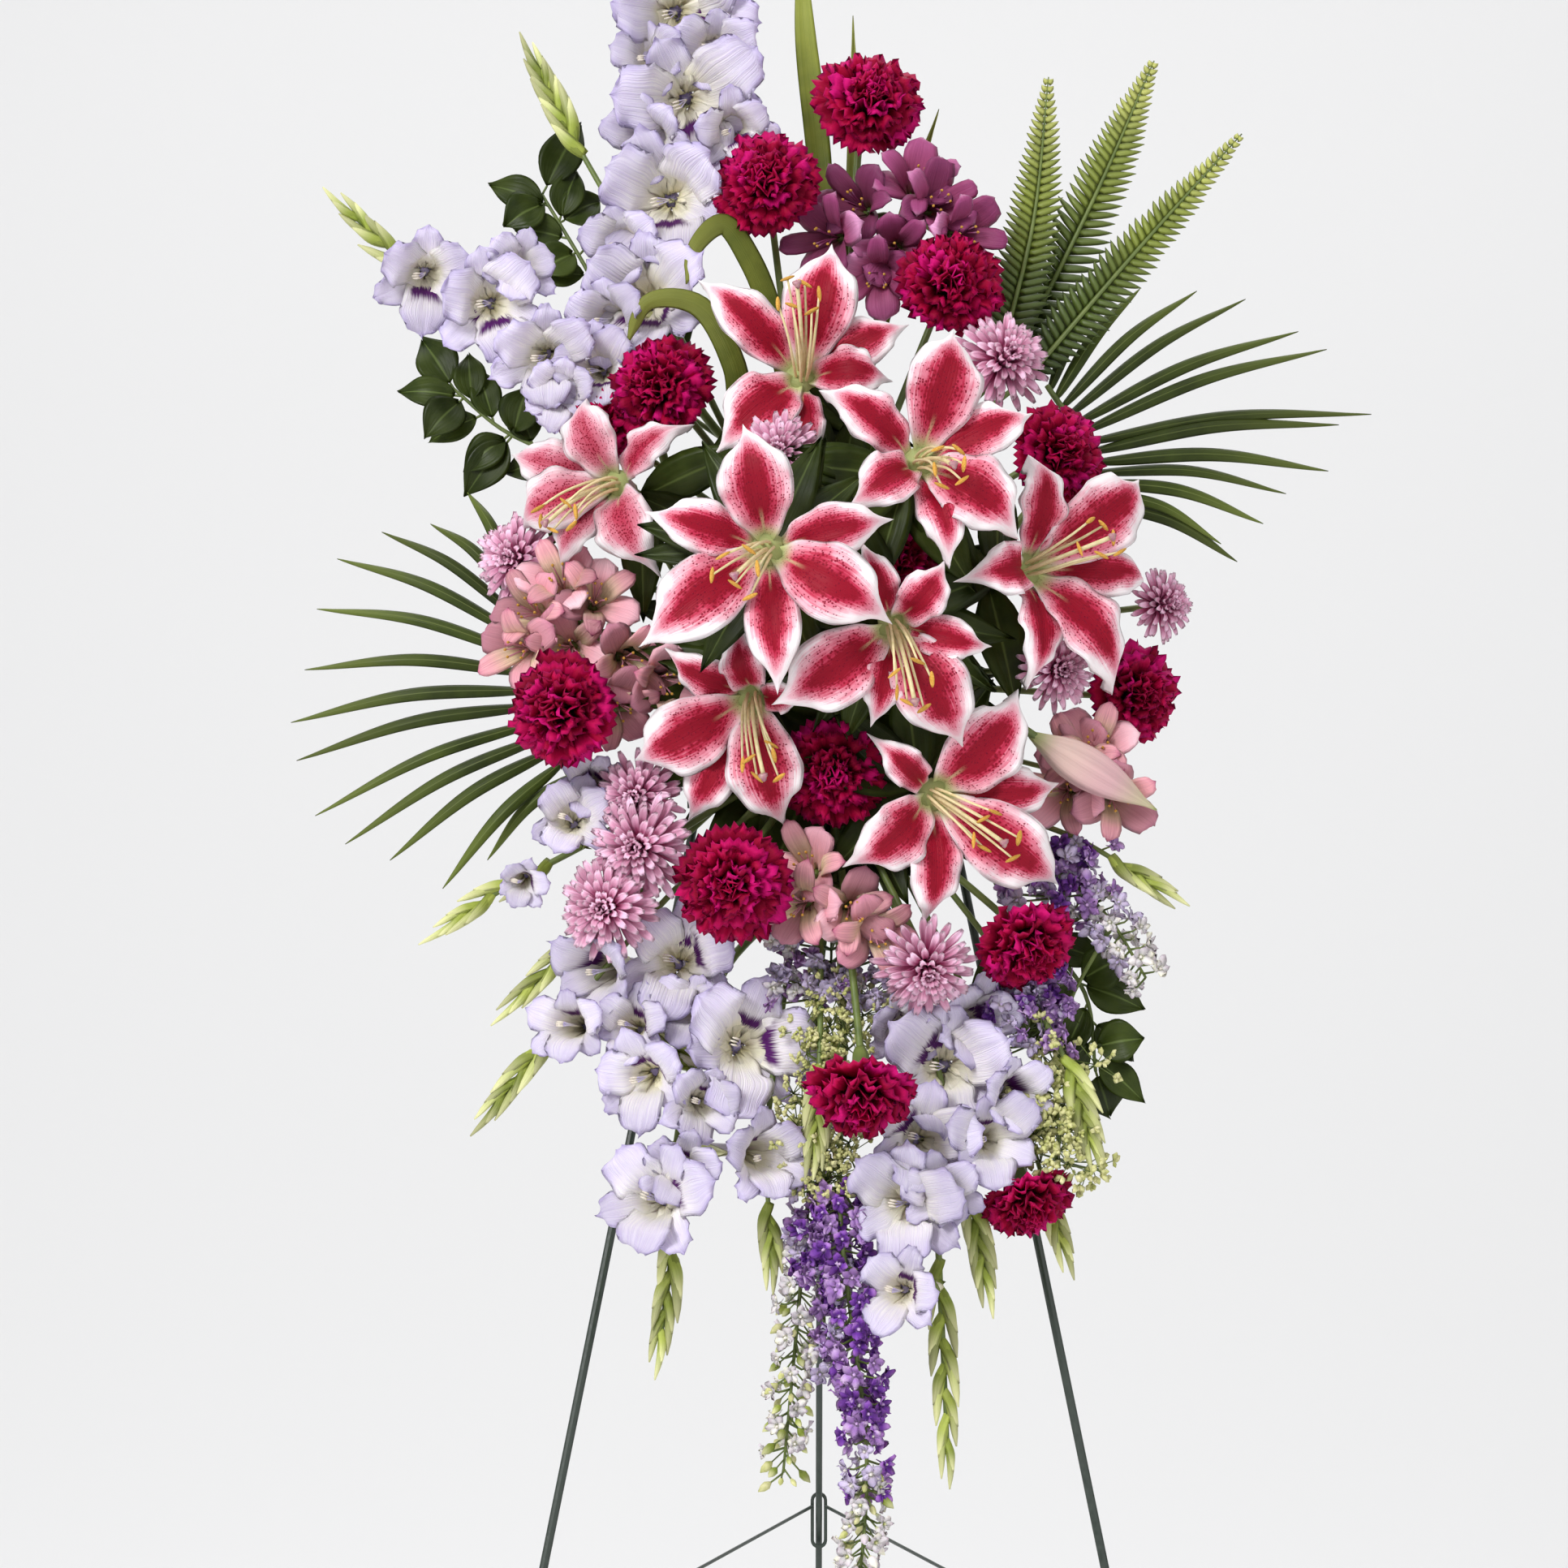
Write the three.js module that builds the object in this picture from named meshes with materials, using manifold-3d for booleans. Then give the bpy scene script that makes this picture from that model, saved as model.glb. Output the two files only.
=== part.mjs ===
// A standing funeral spray: a leaning wire easel that carries a floral foam brick in a plastic tray,
// with lilies, carnations, chrysanthemums, alstroemeria, gladiolus, larkspur, palm, fern and leaves.
// Millimetres, +X to the viewer's right, +Y away from the viewer, +Z up, the floor at z = 0.
import * as THREE from "three";
import { mergeVertices } from "three/addons/utils/BufferGeometryUtils.js";
import Module from "manifold-3d";

const wasm = await Module();
wasm.setup();
const { Manifold, Mesh: SolidMesh } = wasm;
const { degToRad, lerp, clamp } = THREE.MathUtils;
const V = (x, y, z) => new THREE.Vector3(x, y, z);

// The easel: two front legs and a hinged back leg meet at its top.
const TOP = V(-9, -58, 1450);
const FRONT_LEAN = 12;
const BACK_LEAN = 18;
const FOOT_SPREAD = 303;
const LEG_RADIUS = 3;
const BACK_LEG_RADIUS = 2.6;
const SPREADER_RADIUS = 1.3;
const TOP_BAR_HALF = 15;
const BACK_LEG_EYE = 7;
const SPREADER_HEIGHT = { front: 520, back: 540 };
const SPREADER_LOOP = { length: 41, width: 12.8, drop: 4.3 };
const ARM_END = { aside: 0.9, reach: 5.3 };
const CROSSBAR_APART = 150;

// The foam brick stands in its tray on the front side of the crossbars.
const FOAM = { width: 112, height: 230, depth: 62, middle: 1162 };
const SLOT = { width: 27, height: 158, depth: 36 };
const TRAY = { wall: 2.4, rim: 20, hook: { apart: 60, width: 14, thick: 2 } };

// Stems of the flowers.
const STEM = { lily: 3.2, carnation: 2.2, chrysanthemum: 2, alstroemeria: 1.6, gladiolus: 3.4 };
const BUNDLE = { width: 22, height: 152, forward: 6, deep: 34, front: 12 };
const GAP = 0.35;

// Sizes of the blooms.
const TEPAL = { inner: 26, outer: 19, tube: 40, curl: 14, thick: 1.4 };
const CARNATION_WIDTH = 83;
const CHRYSANTHEMUM_WIDTH = 64;
const GLADIOLUS_WIDTH = 94;
const ALSTROEMERIA_WIDTH = 54;
const LARKSPUR_WIDTH = 29;

// The arrangement is laid out as the picture shows it. Places are the picture's pixels, seen from the eye,
// with a distance in millimetres forward of the leaning plane of the front legs.
const PICTURE = { middle: 966, top: 1015, scale: 0.55, distance: 3200 };
const EYE = V(TOP.x + (PICTURE.middle - PICTURE.top) * PICTURE.scale, TOP.y - 3350, 1104);
const LEAN = { slope: Math.tan(degToRad(FRONT_LEAN)), cos: Math.cos(degToRad(FRONT_LEAN)) };
const FORWARD = V(0, -LEAN.cos, Math.sin(degToRad(FRONT_LEAN)));
const forwardOf = (p) => p.clone().sub(TOP).dot(FORWARD);

// The line of sight through a pixel.
function sight([px, py]) {
  return V((px - PICTURE.middle) * PICTURE.scale, PICTURE.distance, (PICTURE.middle - py) * PICTURE.scale);
}

// The point on a line of sight where it meets a plane.
function onPlane(seen, point, normal) {
  const ray = sight(seen);
  const reach = point.clone().sub(EYE).dot(normal) / ray.dot(normal);
  return EYE.clone().addScaledVector(ray, reach);
}

const place = (seen, forward) => onPlane(seen, TOP.clone().addScaledVector(FORWARD, forward), FORWARD);

// Direction a bloom faces: yaw to the viewer's right, pitch upwards.
function facing(yaw = 0, pitch = 0) {
  const [a, b] = [degToRad(yaw), degToRad(pitch)];
  return V(Math.sin(a) * Math.cos(b), -Math.cos(a) * Math.cos(b), Math.sin(b));
}

// Frame of a bloom that is made facing +Z.
function frameOf({ at, forward, yaw = 0, pitch = 0, spin = 0, size = 1 }) {
  const front = facing(yaw, pitch);
  const side = V(0, 0, 1).cross(front).normalize();
  const matrix = new THREE.Matrix4().makeBasis(side, front.clone().cross(side), front);
  matrix.multiply(new THREE.Matrix4().makeRotationZ(degToRad(spin)));
  matrix.scale(V(size, size, size));
  return matrix.setPosition(place(at, forward));
}

// Seeded random numbers from 0 to 1.
function seeded(seed) {
  let state = seed * 7919 + 17;
  return () => {
    state = (state * 16807) % 2147483647;
    return state / 2147483647;
  };
}

// A closed solid from points and triangles, turned to face outwards.
function solidFrom(points, triangles) {
  const make = (order) =>
    new Manifold(
      new SolidMesh({
        numProp: 3,
        vertProperties: new Float32Array(points.flatMap((p) => [p.x, p.y, p.z])),
        triVerts: new Uint32Array(order),
      })
    );
  const made = make(triangles);
  if (made.volume() > 0) return made;
  return make(triangles.map((_, i) => triangles[i - (i % 3) + [0, 2, 1][i % 3]]));
}

// A closed skin over rings of points; a ring of one point is a tip. In a lens of four points a ring, the
// faces are split alike above and below.
function loft(rings, lens = false) {
  const points = rings.flat();
  const triangles = [];
  let a = 0;
  for (let i = 0; i + 1 < rings.length; i++) {
    const [na, nb] = [rings[i].length, rings[i + 1].length];
    const b = a + na;
    const n = Math.max(na, nb);
    for (let k = 0; k < n; k++) {
      const next = (k + 1) % n;
      if (na === 1) triangles.push(a, b + next, b + k);
      else if (nb === 1) triangles.push(a + k, a + next, b);
      else if (lens && k > 1) triangles.push(a + k, a + next, b + k, a + next, b + next, b + k);
      else triangles.push(a + k, a + next, b + next, a + k, b + next, b + k);
    }
    a = b;
  }
  for (let k = 1; k + 1 < rings[0].length; k++) triangles.push(0, k + 1, k);
  for (let k = 1; k + 1 < rings.at(-1).length; k++) triangles.push(a, a + k, a + k + 1);
  return solidFrom(points, triangles);
}

// A three.js geometry as a solid.
function solidOf(geometry, matrix = new THREE.Matrix4()) {
  geometry.deleteAttribute("normal");
  geometry.deleteAttribute("uv");
  geometry.applyMatrix4(matrix);
  const merged = mergeVertices(geometry, 1e-3);
  const at = merged.getAttribute("position");
  const points = Array.from({ length: at.count }, (_, i) => V(at.getX(i), at.getY(i), at.getZ(i)));
  return solidFrom(points, [...merged.index.array]);
}

// A petal or leaf on a spine, a thin lens across: its edges stand off its rib by cup, and ripple by wave.
function blade({ spine, side, half, thick = 1.4, cup = () => 0, wave = 0, ripples = 2, steps = 4 }) {
  const rings = [];
  for (let i = 0; i <= steps; i++) {
    const t = i / steps;
    const along = spine.getTangent(t);
    const across = side.clone().addScaledVector(along, -side.dot(along)).normalize();
    const normal = along.clone().cross(across);
    const middle = spine.getPoint(t);
    const width = half(t, i);
    if (width < 0.3) {
      rings.push([middle]);
      continue;
    }
    const ripple = wave * Math.sin(Math.PI * 2 * ripples * t);
    const edge = (s) =>
      middle
        .clone()
        .addScaledVector(across, s * width)
        .addScaledVector(normal, cup(t) + s * ripple);
    const rib = (s) => middle.clone().addScaledVector(normal, (s * thick) / 2);
    rings.push([edge(1), rib(1), edge(-1), rib(-1)]);
  }
  return loft(rings, true);
}

// A rod through points, mitred at each, from its root radius to its tip radius; room for one has a longer tip.
function rod(points, root, tip = root, sides = 5, longer = 0) {
  const last = points.length - 1;
  const steps = points.slice(1).map((p, i) => p.clone().sub(points[i]).normalize());
  let side = Math.abs(steps[0].x) < 0.8 ? V(1, 0, 0) : V(0, 1, 0);
  const rings = points.map((point, i) => {
    const along = steps[Math.max(i - 1, 0)].clone().add(steps[Math.min(i, last - 1)]).normalize();
    side = side.clone().addScaledVector(along, -side.dot(along)).normalize();
    const other = along.clone().cross(side);
    const reach = lerp(root, tip, i / last);
    return Array.from({ length: sides }, (_, k) => {
      const turn = (Math.PI * 2 * k) / sides;
      return point
        .clone()
        .addScaledVector(along, i === last ? longer : 0)
        .addScaledVector(side, reach * Math.cos(turn))
        .addScaledVector(other, reach * Math.sin(turn));
    });
  });
  return loft(rings);
}

// Rings round a bloom's own axis, from a bottom height to a top height.
function whorl(frame, turns, bottom, layers, top) {
  const ring = (layer) =>
    Array.from({ length: turns }, (_, k) => {
      const turn = (Math.PI * 2 * k) / turns;
      const [r, z] = layer(k, turn);
      return V(r * Math.cos(turn), r * Math.sin(turn), z).applyMatrix4(frame);
    });
  return loft([[V(0, 0, bottom).applyMatrix4(frame)], ...layers.map(ring), [V(0, 0, top).applyMatrix4(frame)]]);
}

// Joins solids that overlap into one body, without loose scraps.
function fuse(solids) {
  const joined = solids.flat(3).reduce((all, solid) => all.add(solid));
  return joined.decompose().sort((a, b) => b.volume() - a.volume())[0];
}

// Cuts room for one piece out of another.
const clearOf = (solid, room) => fuse([solid.subtract(room)]);

// Wire of round section along a curve.
function wire(curve, radius, steps, sides = 8) {
  const turns = Array.from({ length: sides }, (_, k) => (Math.PI * 2 * (k + 0.5)) / sides);
  const section = new THREE.Shape(
    turns.map((turn) => new THREE.Vector2(radius * Math.cos(turn), radius * Math.sin(turn)))
  );
  return solidOf(new THREE.ExtrudeGeometry(section, { extrudePath: curve, steps, bevelEnabled: false }));
}

const line = (a, b) => new THREE.LineCurve3(a, b);

// Easel pieces. A leg's upper end stops at the top bar, and its foot is cut flat at the floor.
const frontFoot = (s) => V(TOP.x + s * FOOT_SPREAD, TOP.y - LEAN.slope * TOP.z, 0);
const backFoot = V(TOP.x, TOP.y + Math.tan(degToRad(BACK_LEAN)) * TOP.z, 0);
const legTop = (s) => V(TOP.x + s * TOP_BAR_HALF, TOP.y, TOP.z);
const onLeg = (s, height) => frontFoot(s).lerp(legTop(s), height / TOP.z);
const onBackLeg = (height) => backFoot.clone().lerp(TOP, height / TOP.z);

function leg(foot, top, radius) {
  const down = foot.clone().sub(top).normalize();
  const start = foot.clone().addScaledVector(down, 20);
  const floor = solidOf(
    new THREE.BoxGeometry(200, 200, 100),
    new THREE.Matrix4().makeTranslation(foot.x, foot.y, -50)
  );
  return wire(line(start, top), radius, 1, 10).subtract(floor);
}

function topBar() {
  return wire(line(legTop(-1).add(V(-1, 0, 0)), legTop(1).add(V(1, 0, 0))), LEG_RADIUS, 1, 12);
}

function frontLeg(s) {
  const top = legTop(s).lerp(frontFoot(s), 0.0008);
  const bar = wire(line(legTop(-1.5), legTop(1.5)), LEG_RADIUS + GAP, 1, 12);
  return clearOf(leg(frontFoot(s), top, LEG_RADIUS), bar);
}

// The back leg ends in a wire eye round the top bar.
function backLeg() {
  const across = (half) => line(TOP.clone().add(V(-half, 0, 0)), TOP.clone().add(V(half, 0, 0)));
  const eye = wire(across(5), BACK_LEG_EYE, 1, 14);
  const hole = wire(across(9), LEG_RADIUS + GAP + 0.15, 1, 14);
  return clearOf(fuse([leg(backFoot, onBackLeg(TOP.z - 5), BACK_LEG_RADIUS), eye]), hole);
}

// A crossbar lies on the front side of both legs.
const barOffset = LEG_RADIUS * 2 + GAP;
function crossbar(height) {
  const end = (s) => onLeg(s, height).addScaledVector(FORWARD, barOffset).add(V(s * 7, 0, 0));
  return wire(line(end(-1), end(1)), LEG_RADIUS, 1, 8);
}

// The spreader: an upright loop, through which the slanting back leg passes, and two arms whose ends
// lie against the inner sides of the front legs.
const loopMiddle = onBackLeg(SPREADER_HEIGHT.back).add(V(0, 0, -SPREADER_LOOP.drop));

function spreaderLoop() {
  const [w, l] = [SPREADER_LOOP.width / 2 - SPREADER_RADIUS, SPREADER_LOOP.length / 2];
  const outline = (grow) => {
    const shape = new THREE.Shape();
    shape.absarc(0, l - w, w + grow, 0, Math.PI);
    shape.absarc(0, w - l, w + grow, Math.PI, Math.PI * 2);
    shape.closePath();
    return shape;
  };
  const shape = outline(SPREADER_RADIUS);
  shape.holes.push(outline(-SPREADER_RADIUS));
  const plate = new THREE.ExtrudeGeometry(shape, {
    depth: SPREADER_RADIUS * 2,
    bevelEnabled: false,
    curveSegments: 4,
  });
  plate.translate(0, 0, -SPREADER_RADIUS);
  const upright = new THREE.Matrix4().makeRotationX(Math.PI / 2);
  return solidOf(plate, upright.setPosition(loopMiddle));
}

function spreaderArm(s) {
  const side = SPREADER_LOOP.width / 2 - SPREADER_RADIUS;
  const start = loopMiddle.clone().add(V(s * side, -SPREADER_RADIUS - GAP - 0.4, 11));
  const legPlace = onLeg(s, SPREADER_HEIGHT.front);
  const aside = LEG_RADIUS + SPREADER_RADIUS + ARM_END.aside;
  const past = legPlace.clone().add(V(-s * aside, -ARM_END.reach, 0));
  return wire(line(start, past), SPREADER_RADIUS, 1, 8);
}

// A point in the leaning frame of the holder: across, up along the legs' plane, and forward of it.
const UP = V(0, LEAN.slope, 1).normalize();
const holderMiddle = TOP.clone().addScaledVector(UP, (FOAM.middle - TOP.z) / LEAN.cos);
const holder = (u, w, f) =>
  holderMiddle.clone().add(V(u, 0, 0)).addScaledVector(UP, w).addScaledVector(FORWARD, f);
const holderFrame = new THREE.Matrix4().makeBasis(V(1, 0, 0), FORWARD.clone().negate(), UP);
holderFrame.setPosition(holderMiddle);

// A block in the holder's frame between two forward distances.
function block(width, height, back, front, w = 0, u = 0) {
  const matrix = holderFrame.clone().multiply(new THREE.Matrix4().makeTranslation(u, -(back + front) / 2, w));
  return solidOf(new THREE.BoxGeometry(width, front - back, height), matrix);
}

const foamBack = barOffset + LEG_RADIUS + TRAY.wall + GAP * 2;
const foamFront = foamBack + FOAM.depth;

// Flowers.

// A lily: six tepals from a short tube to the tips seen in the picture, with stamens and a pistil.
function lily(bloom) {
  const { at, forward, tips, wide = 1, curl = TEPAL.curl } = bloom;
  const axis = facing(bloom.yaw, bloom.pitch);
  const centre = place(at, forward);
  const frame = frameOf({ ...bloom, size: 1 });
  const inFrame = frame.clone().invert();
  const reach = tips.map((seen) => onPlane(seen, centre.clone().addScaledVector(axis, -curl), axis));
  const turnOf = (p) => {
    const local = p.clone().applyMatrix4(inFrame);
    return Math.atan2(local.y, local.x);
  };
  reach.sort((a, b) => turnOf(a) - turnOf(b));
  const solids = reach.map((tip, k) => {
    const inner = k % 2 === 0;
    const out = tip.clone().sub(centre).addScaledVector(axis, curl);
    const length = out.length();
    const dir = out.normalize();
    const lift = inner ? 5 : 0;
    const from = (r, z) => centre.clone().addScaledVector(dir, r).addScaledVector(axis, z);
    const spine = new THREE.CatmullRomCurve3([
      from(6, -22),
      from(22, -7 + lift),
      from(length * 0.55, 2 + lift),
      from(length * 0.84, -2 + lift * 0.5),
      tip,
    ]);
    const width = (inner ? TEPAL.inner : TEPAL.outer) * wide * clamp(length / 85, 0.6, 1);
    return blade({
      spine,
      side: axis.clone().cross(dir),
      half: (t) => (t === 1 ? 0 : 2.6 + (width - 2.6) * Math.sin(Math.PI * Math.pow(t, 1.08)) ** 1.3),
      cup: (t) => (inner ? 4 * (1 - t) : 0) - 4 * t,
      thick: TEPAL.thick,
      steps: 4,
    });
  });
  const inPlace = (...points) => points.map((p) => p.applyMatrix4(frame));
  const tube = rod(inPlace(V(0, 0, -TEPAL.tube - 4), V(0, 0, -17)), 6.5, 11, 6);
  const random = seeded(at[0]);
  const stamens = Array.from({ length: 6 }, (_, k) => {
    const turn = (Math.PI * 2 * (k + 0.4 * random())) / 6;
    const out = (r, z) => V(r * Math.cos(turn), r * Math.sin(turn), z);
    return rod(inPlace(out(5, -20), out(22, 26)), 1, 1.7, 3);
  });
  const pistil = rod(inPlace(V(0, 0, -20), V(2, -4, 36)), 1.3, 1.9, 3);
  return fuse([...solids, tube, stamens, pistil]);
}

// A long closed bud with six soft ridges.
function bud(from, to, radius, ridges = 6) {
  const places = ridges > 4 ? [0.12, 0.4, 0.72, 0.93] : [0.25, 0.7];
  const middle = places.map((t) => [t, radius * Math.sin(Math.PI * (t * 0.8 + 0.12))]);
  const along = to.clone().sub(from);
  const side = V(0, 1, 0).cross(along).normalize();
  const other = along.clone().normalize().cross(side);
  const ring = ([t, r]) =>
    Array.from({ length: ridges }, (_, k) => {
      const turn = (Math.PI * 2 * k) / ridges;
      const reach = r * (k % 2 ? 0.88 : 1);
      return from
        .clone()
        .addScaledVector(along, t)
        .addScaledVector(side, reach * Math.cos(turn))
        .addScaledVector(other, reach * Math.sin(turn));
    });
  return loft([[from], ...middle.map(ring), [to]]);
}

// A carnation: skirts of toothed petals one above another, the teeth of each row drawn at random.
function carnation(bloom) {
  const turns = 12;
  const random = seeded(bloom.at[0] + bloom.at[1]);
  const half = CARNATION_WIDTH / 2;
  const frame = frameOf(bloom);
  const skirt = (r, z) => (k) => {
    const tooth = k % 2 ? 0.8 + 0.06 * random() : 0.97 + 0.06 * random();
    return [half * r * tooth, z + (k % 2 ? 2.5 : -2.5) + 3 * (random() - 0.5)];
  };
  const fold = (r, z) => (k) => [half * r * (k % 2 ? 1.08 : 0.94), z];
  const outer = [fold(0.24, -20), skirt(0.98, -2), fold(0.6, 6)];
  const layers = [...outer, skirt(0.8, 13), fold(0.36, 15), skirt(0.5, 22)];
  return whorl(frame, turns, -24, layers, 18);
}

// A chrysanthemum: rows of pointed petals round a low heart.
function chrysanthemum(bloom) {
  const petals = 8;
  const half = CHRYSANTHEMUM_WIDTH / 2;
  const frame = frameOf(bloom);
  const row = (r, z, shift, drop) => (k) => {
    const tip = (k + shift) % 2 === 0;
    return [half * r * (tip ? 1 : 0.62), z - (tip ? drop : 0)];
  };
  const layers = [() => [6, -12], row(1, 0, 0, -1), row(0.55, 4, 0, 0), row(0.76, 11, 1, -2)];
  return whorl(frame, petals * 2, -14, layers, 10);
}

// An open floret: six lobes round a funnel. Points of a lobe: valley and tip.
function floret(frame, { width, depth, tube = 0, points = [0.78, 1] }) {
  const half = width / 2;
  const lobe = (k) => points[k % 2];
  const inner = (k) => (Math.floor(k / 2) % 2 ? 1 : 0);
  const layers = [(k) => [half * lobe(k), 4 * inner(k) - 3 * lobe(k)], () => [half * 0.3, -depth * 0.32]];
  if (tube) layers.unshift((k) => [tube * (0.6 + 0.4 * lobe(k)), 9 - depth]);
  return whorl(frame, 12, -depth, layers, -depth * 0.55);
}

// Turns an open floret so that its funnel starts at a point of its stalk.
function floretFrom(start, seen, forward, spin, shape) {
  const centre = place(seen, forward);
  const out = centre.clone().sub(start);
  const depth = out.length() + 1;
  out.normalize();
  const yaw = THREE.MathUtils.radToDeg(Math.atan2(out.x, -out.y));
  const pitch = THREE.MathUtils.radToDeg(Math.asin(out.z));
  return floret(frameOf({ at: seen, forward, yaw, pitch, spin }), { depth, ...shape });
}

// An umbel of alstroemeria: florets from one knot.
function alstroemeria({ at, forward, seen }) {
  const umbel = place(at, forward - 40);
  const florets = seen.map((spot, k) =>
    floretFrom(umbel, spot, forward + (k % 2) * 5, k * 23, { width: ALSTROEMERIA_WIDTH, points: [0.5, 1] })
  );
  return fuse([florets, whorl(frameOf({ at, forward: forward - 40 }), 6, -6, [() => [5.5, 0]], 8)]);
}

// Places of the flowers.

const LILIES = {
  lily_1: {
    at: [991, 456], forward: 168, yaw: 4, pitch: 11,
    tips: [[860, 345], [1025, 300], [1120, 400], [1100, 470], [985, 590], [880, 560]],
  },
  lily_2: {
    at: [745, 590], forward: 150, yaw: -22, pitch: 8,
    tips: [[630, 560], [722, 490], [850, 520], [640, 650], [690, 705], [810, 710]],
  },
  lily_3: {
    at: [946, 672], forward: 275, yaw: 0, pitch: 4,
    tips: [[915, 522], [794, 630], [1101, 640], [787, 797], [1100, 768], [958, 856]],
  },
  lily_4: {
    at: [1140, 560], forward: 246, yaw: 12, pitch: 14,
    tips: [[1175, 405], [1272, 510], [1255, 665], [1040, 630], [1010, 480], [1170, 700]],
  },
  lily_5: {
    at: [1285, 695], forward: 180, yaw: 34, pitch: 10,
    tips: [[1405, 590], [1270, 560], [1180, 715], [1375, 855], [1265, 850], [1415, 715]],
  },
  lily_6: {
    at: [1105, 772], forward: 232, yaw: 6, pitch: -6,
    tips: [[951, 869], [1060, 665], [1166, 690], [1223, 797], [1187, 922], [1073, 897]],
  },
  lily_7: {
    at: [923, 864], forward: 178, yaw: -8, pitch: -12,
    tips: [[780, 938], [912, 765], [818, 800], [967, 1020], [846, 1015], [1000, 850]],
  },
  lily_8: {
    at: [1158, 983], forward: 176, yaw: 14, pitch: -8,
    tips: [[1258, 851], [1308, 966], [1307, 1092], [1141, 1141], [1041, 1070], [1071, 905]],
  },
};

const CARNATIONS = {
  carnation_1: { at: [1072, 125], forward: 95, yaw: 10, pitch: 25 },
  carnation_2: { at: [943, 225], forward: 121, yaw: -5, pitch: 20, size: 0.95 },
  carnation_3: { at: [1172, 350], forward: 125, yaw: 12, pitch: 18, size: 0.98 },
  carnation_4: { at: [1305, 560], forward: 125, yaw: 28, pitch: 8, size: 0.88 },
  carnation_5: { at: [690, 875], forward: 150, yaw: -24, pitch: 0 },
  carnation_6: { at: [1400, 856], forward: 90, yaw: 34, pitch: 0, size: 0.86 },
  carnation_7: { at: [1026, 951], forward: 138, yaw: 0, pitch: -8, size: 0.98 },
  carnation_8: { at: [902, 1090], forward: 165, yaw: -6, pitch: -16 },
  carnation_9: { at: [1266, 1165], forward: 125, yaw: 30, pitch: -32, size: 0.9 },
  carnation_10: { at: [1062, 1350], forward: 142, yaw: 2, pitch: -52, size: 0.96 },
  carnation_12: { at: [1104, 690], forward: 168, yaw: 4, pitch: 6, size: 0.9 },
  carnation_11: { at: [1265, 1480], forward: 82, yaw: 20, pitch: -50, size: 0.8 },
};

const CHRYSANTHEMUMS = {
  chrysanthemum_1: { at: [1235, 445], forward: 130, yaw: 20, pitch: 14 },
  chrysanthemum_2: { at: [960, 560], forward: 190, yaw: -2, pitch: 6, size: 0.85 },
  chrysanthemum_3: { at: [640, 690], forward: 93, yaw: -28, pitch: 4, size: 0.95 },
  chrysanthemum_4: { at: [1300, 825], forward: 125, yaw: 24, pitch: 0, size: 0.8 },
  chrysanthemum_5: { at: [1430, 745], forward: 84, yaw: 38, pitch: 4, size: 0.75 },
  chrysanthemum_6: { at: [1141, 1190], forward: 138, yaw: 6, pitch: -22 },
};

// Heads that grow close enough to hold together.
const CHRYSANTHEMUM_CLUSTER = [
  { at: [790, 1044], forward: 132, yaw: -16, pitch: -2, size: 1.05 },
  { at: [750, 1118], forward: 124, yaw: -16, pitch: -2 },
  { at: [788, 982], forward: 122, yaw: -16, pitch: -2, size: 0.9 },
];
const CARNATION_PAIR = [
  { at: [812, 478], forward: 125, yaw: -20, pitch: 14, size: 0.95 },
  { at: [738, 528], forward: 100, yaw: -26, pitch: 10, size: 0.72 },
];

const ALSTROEMERIA = {
  alstroemeria_top: { at: [1110, 275], forward: 100, seen: [[1055, 250], [1155, 250], [1105, 310]] },
  alstroemeria_left: { at: [715, 775], forward: 118, seen: [[655, 752], [735, 735], [702, 800], [775, 815]] },
  alstroemeria_lower: { at: [1028, 1095], forward: 132, seen: [[994, 1066], [1051, 1122]] },
  alstroemeria_right: { at: [1345, 960], forward: 105, seen: [[1325, 930], [1375, 985]] },
};

// Gladiolus spikes: the stalk from its tip down to the foam, and the open florets on it.
const GLADIOLUS = {
  gladiolus_top: {
    root: [-40, 96],
    stalk: [[842, -190], [838, 0], [822, 250], [850, 480]],
    forward: [46, 54, 62, 64],
    florets: [
      [848, -105, 0.85], [838, 15, 0.98], [850, 125, 0.96], [822, 245, 0.96], [792, 368, 0.9],
    ],
    buds: 2,
  },
  gladiolus_left: {
    root: [-34, 78],
    stalk: [[440, 270], [510, 330], [640, 400], [780, 480]],
    forward: [66, 68, 70, 62],
    florets: [[526, 340, 0.66], [606, 372, 0.78], [672, 442, 0.68]],
    buds: 4,
  },
  gladiolus_lower_left: {
    root: [-34, -40],
    stalk: [[575, 1125], [620, 1095], [740, 1030], [820, 980]],
    forward: [84, 80, 72, 60],
    florets: [[642, 1088, 0.34], [704, 1008, 0.56]],
    buds: 3,
  },
  gladiolus_hanging: {
    root: [-22, -96],
    stalk: [[815, 1640], [828, 1540], [835, 1400], [890, 1200]],
    forward: [66, 68, 68, 54],
    florets: [
      [806, 1478, 0.74], [792, 1330, 0.62], [922, 1288, 0.92], [836, 1182, 0.76], [736, 1198, 0.62],
    ],
    buds: 4,
  },
  gladiolus_right_hanging: {
    root: [30, -96],
    stalk: [[1167, 1775], [1160, 1620], [1150, 1450], [1120, 1230]],
    forward: [58, 62, 64, 54],
    florets: [[1106, 1592, 0.56], [1114, 1486, 0.76], [1222, 1402, 0.62], [1168, 1316, 0.9]],
    buds: 6,
  },
};

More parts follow.
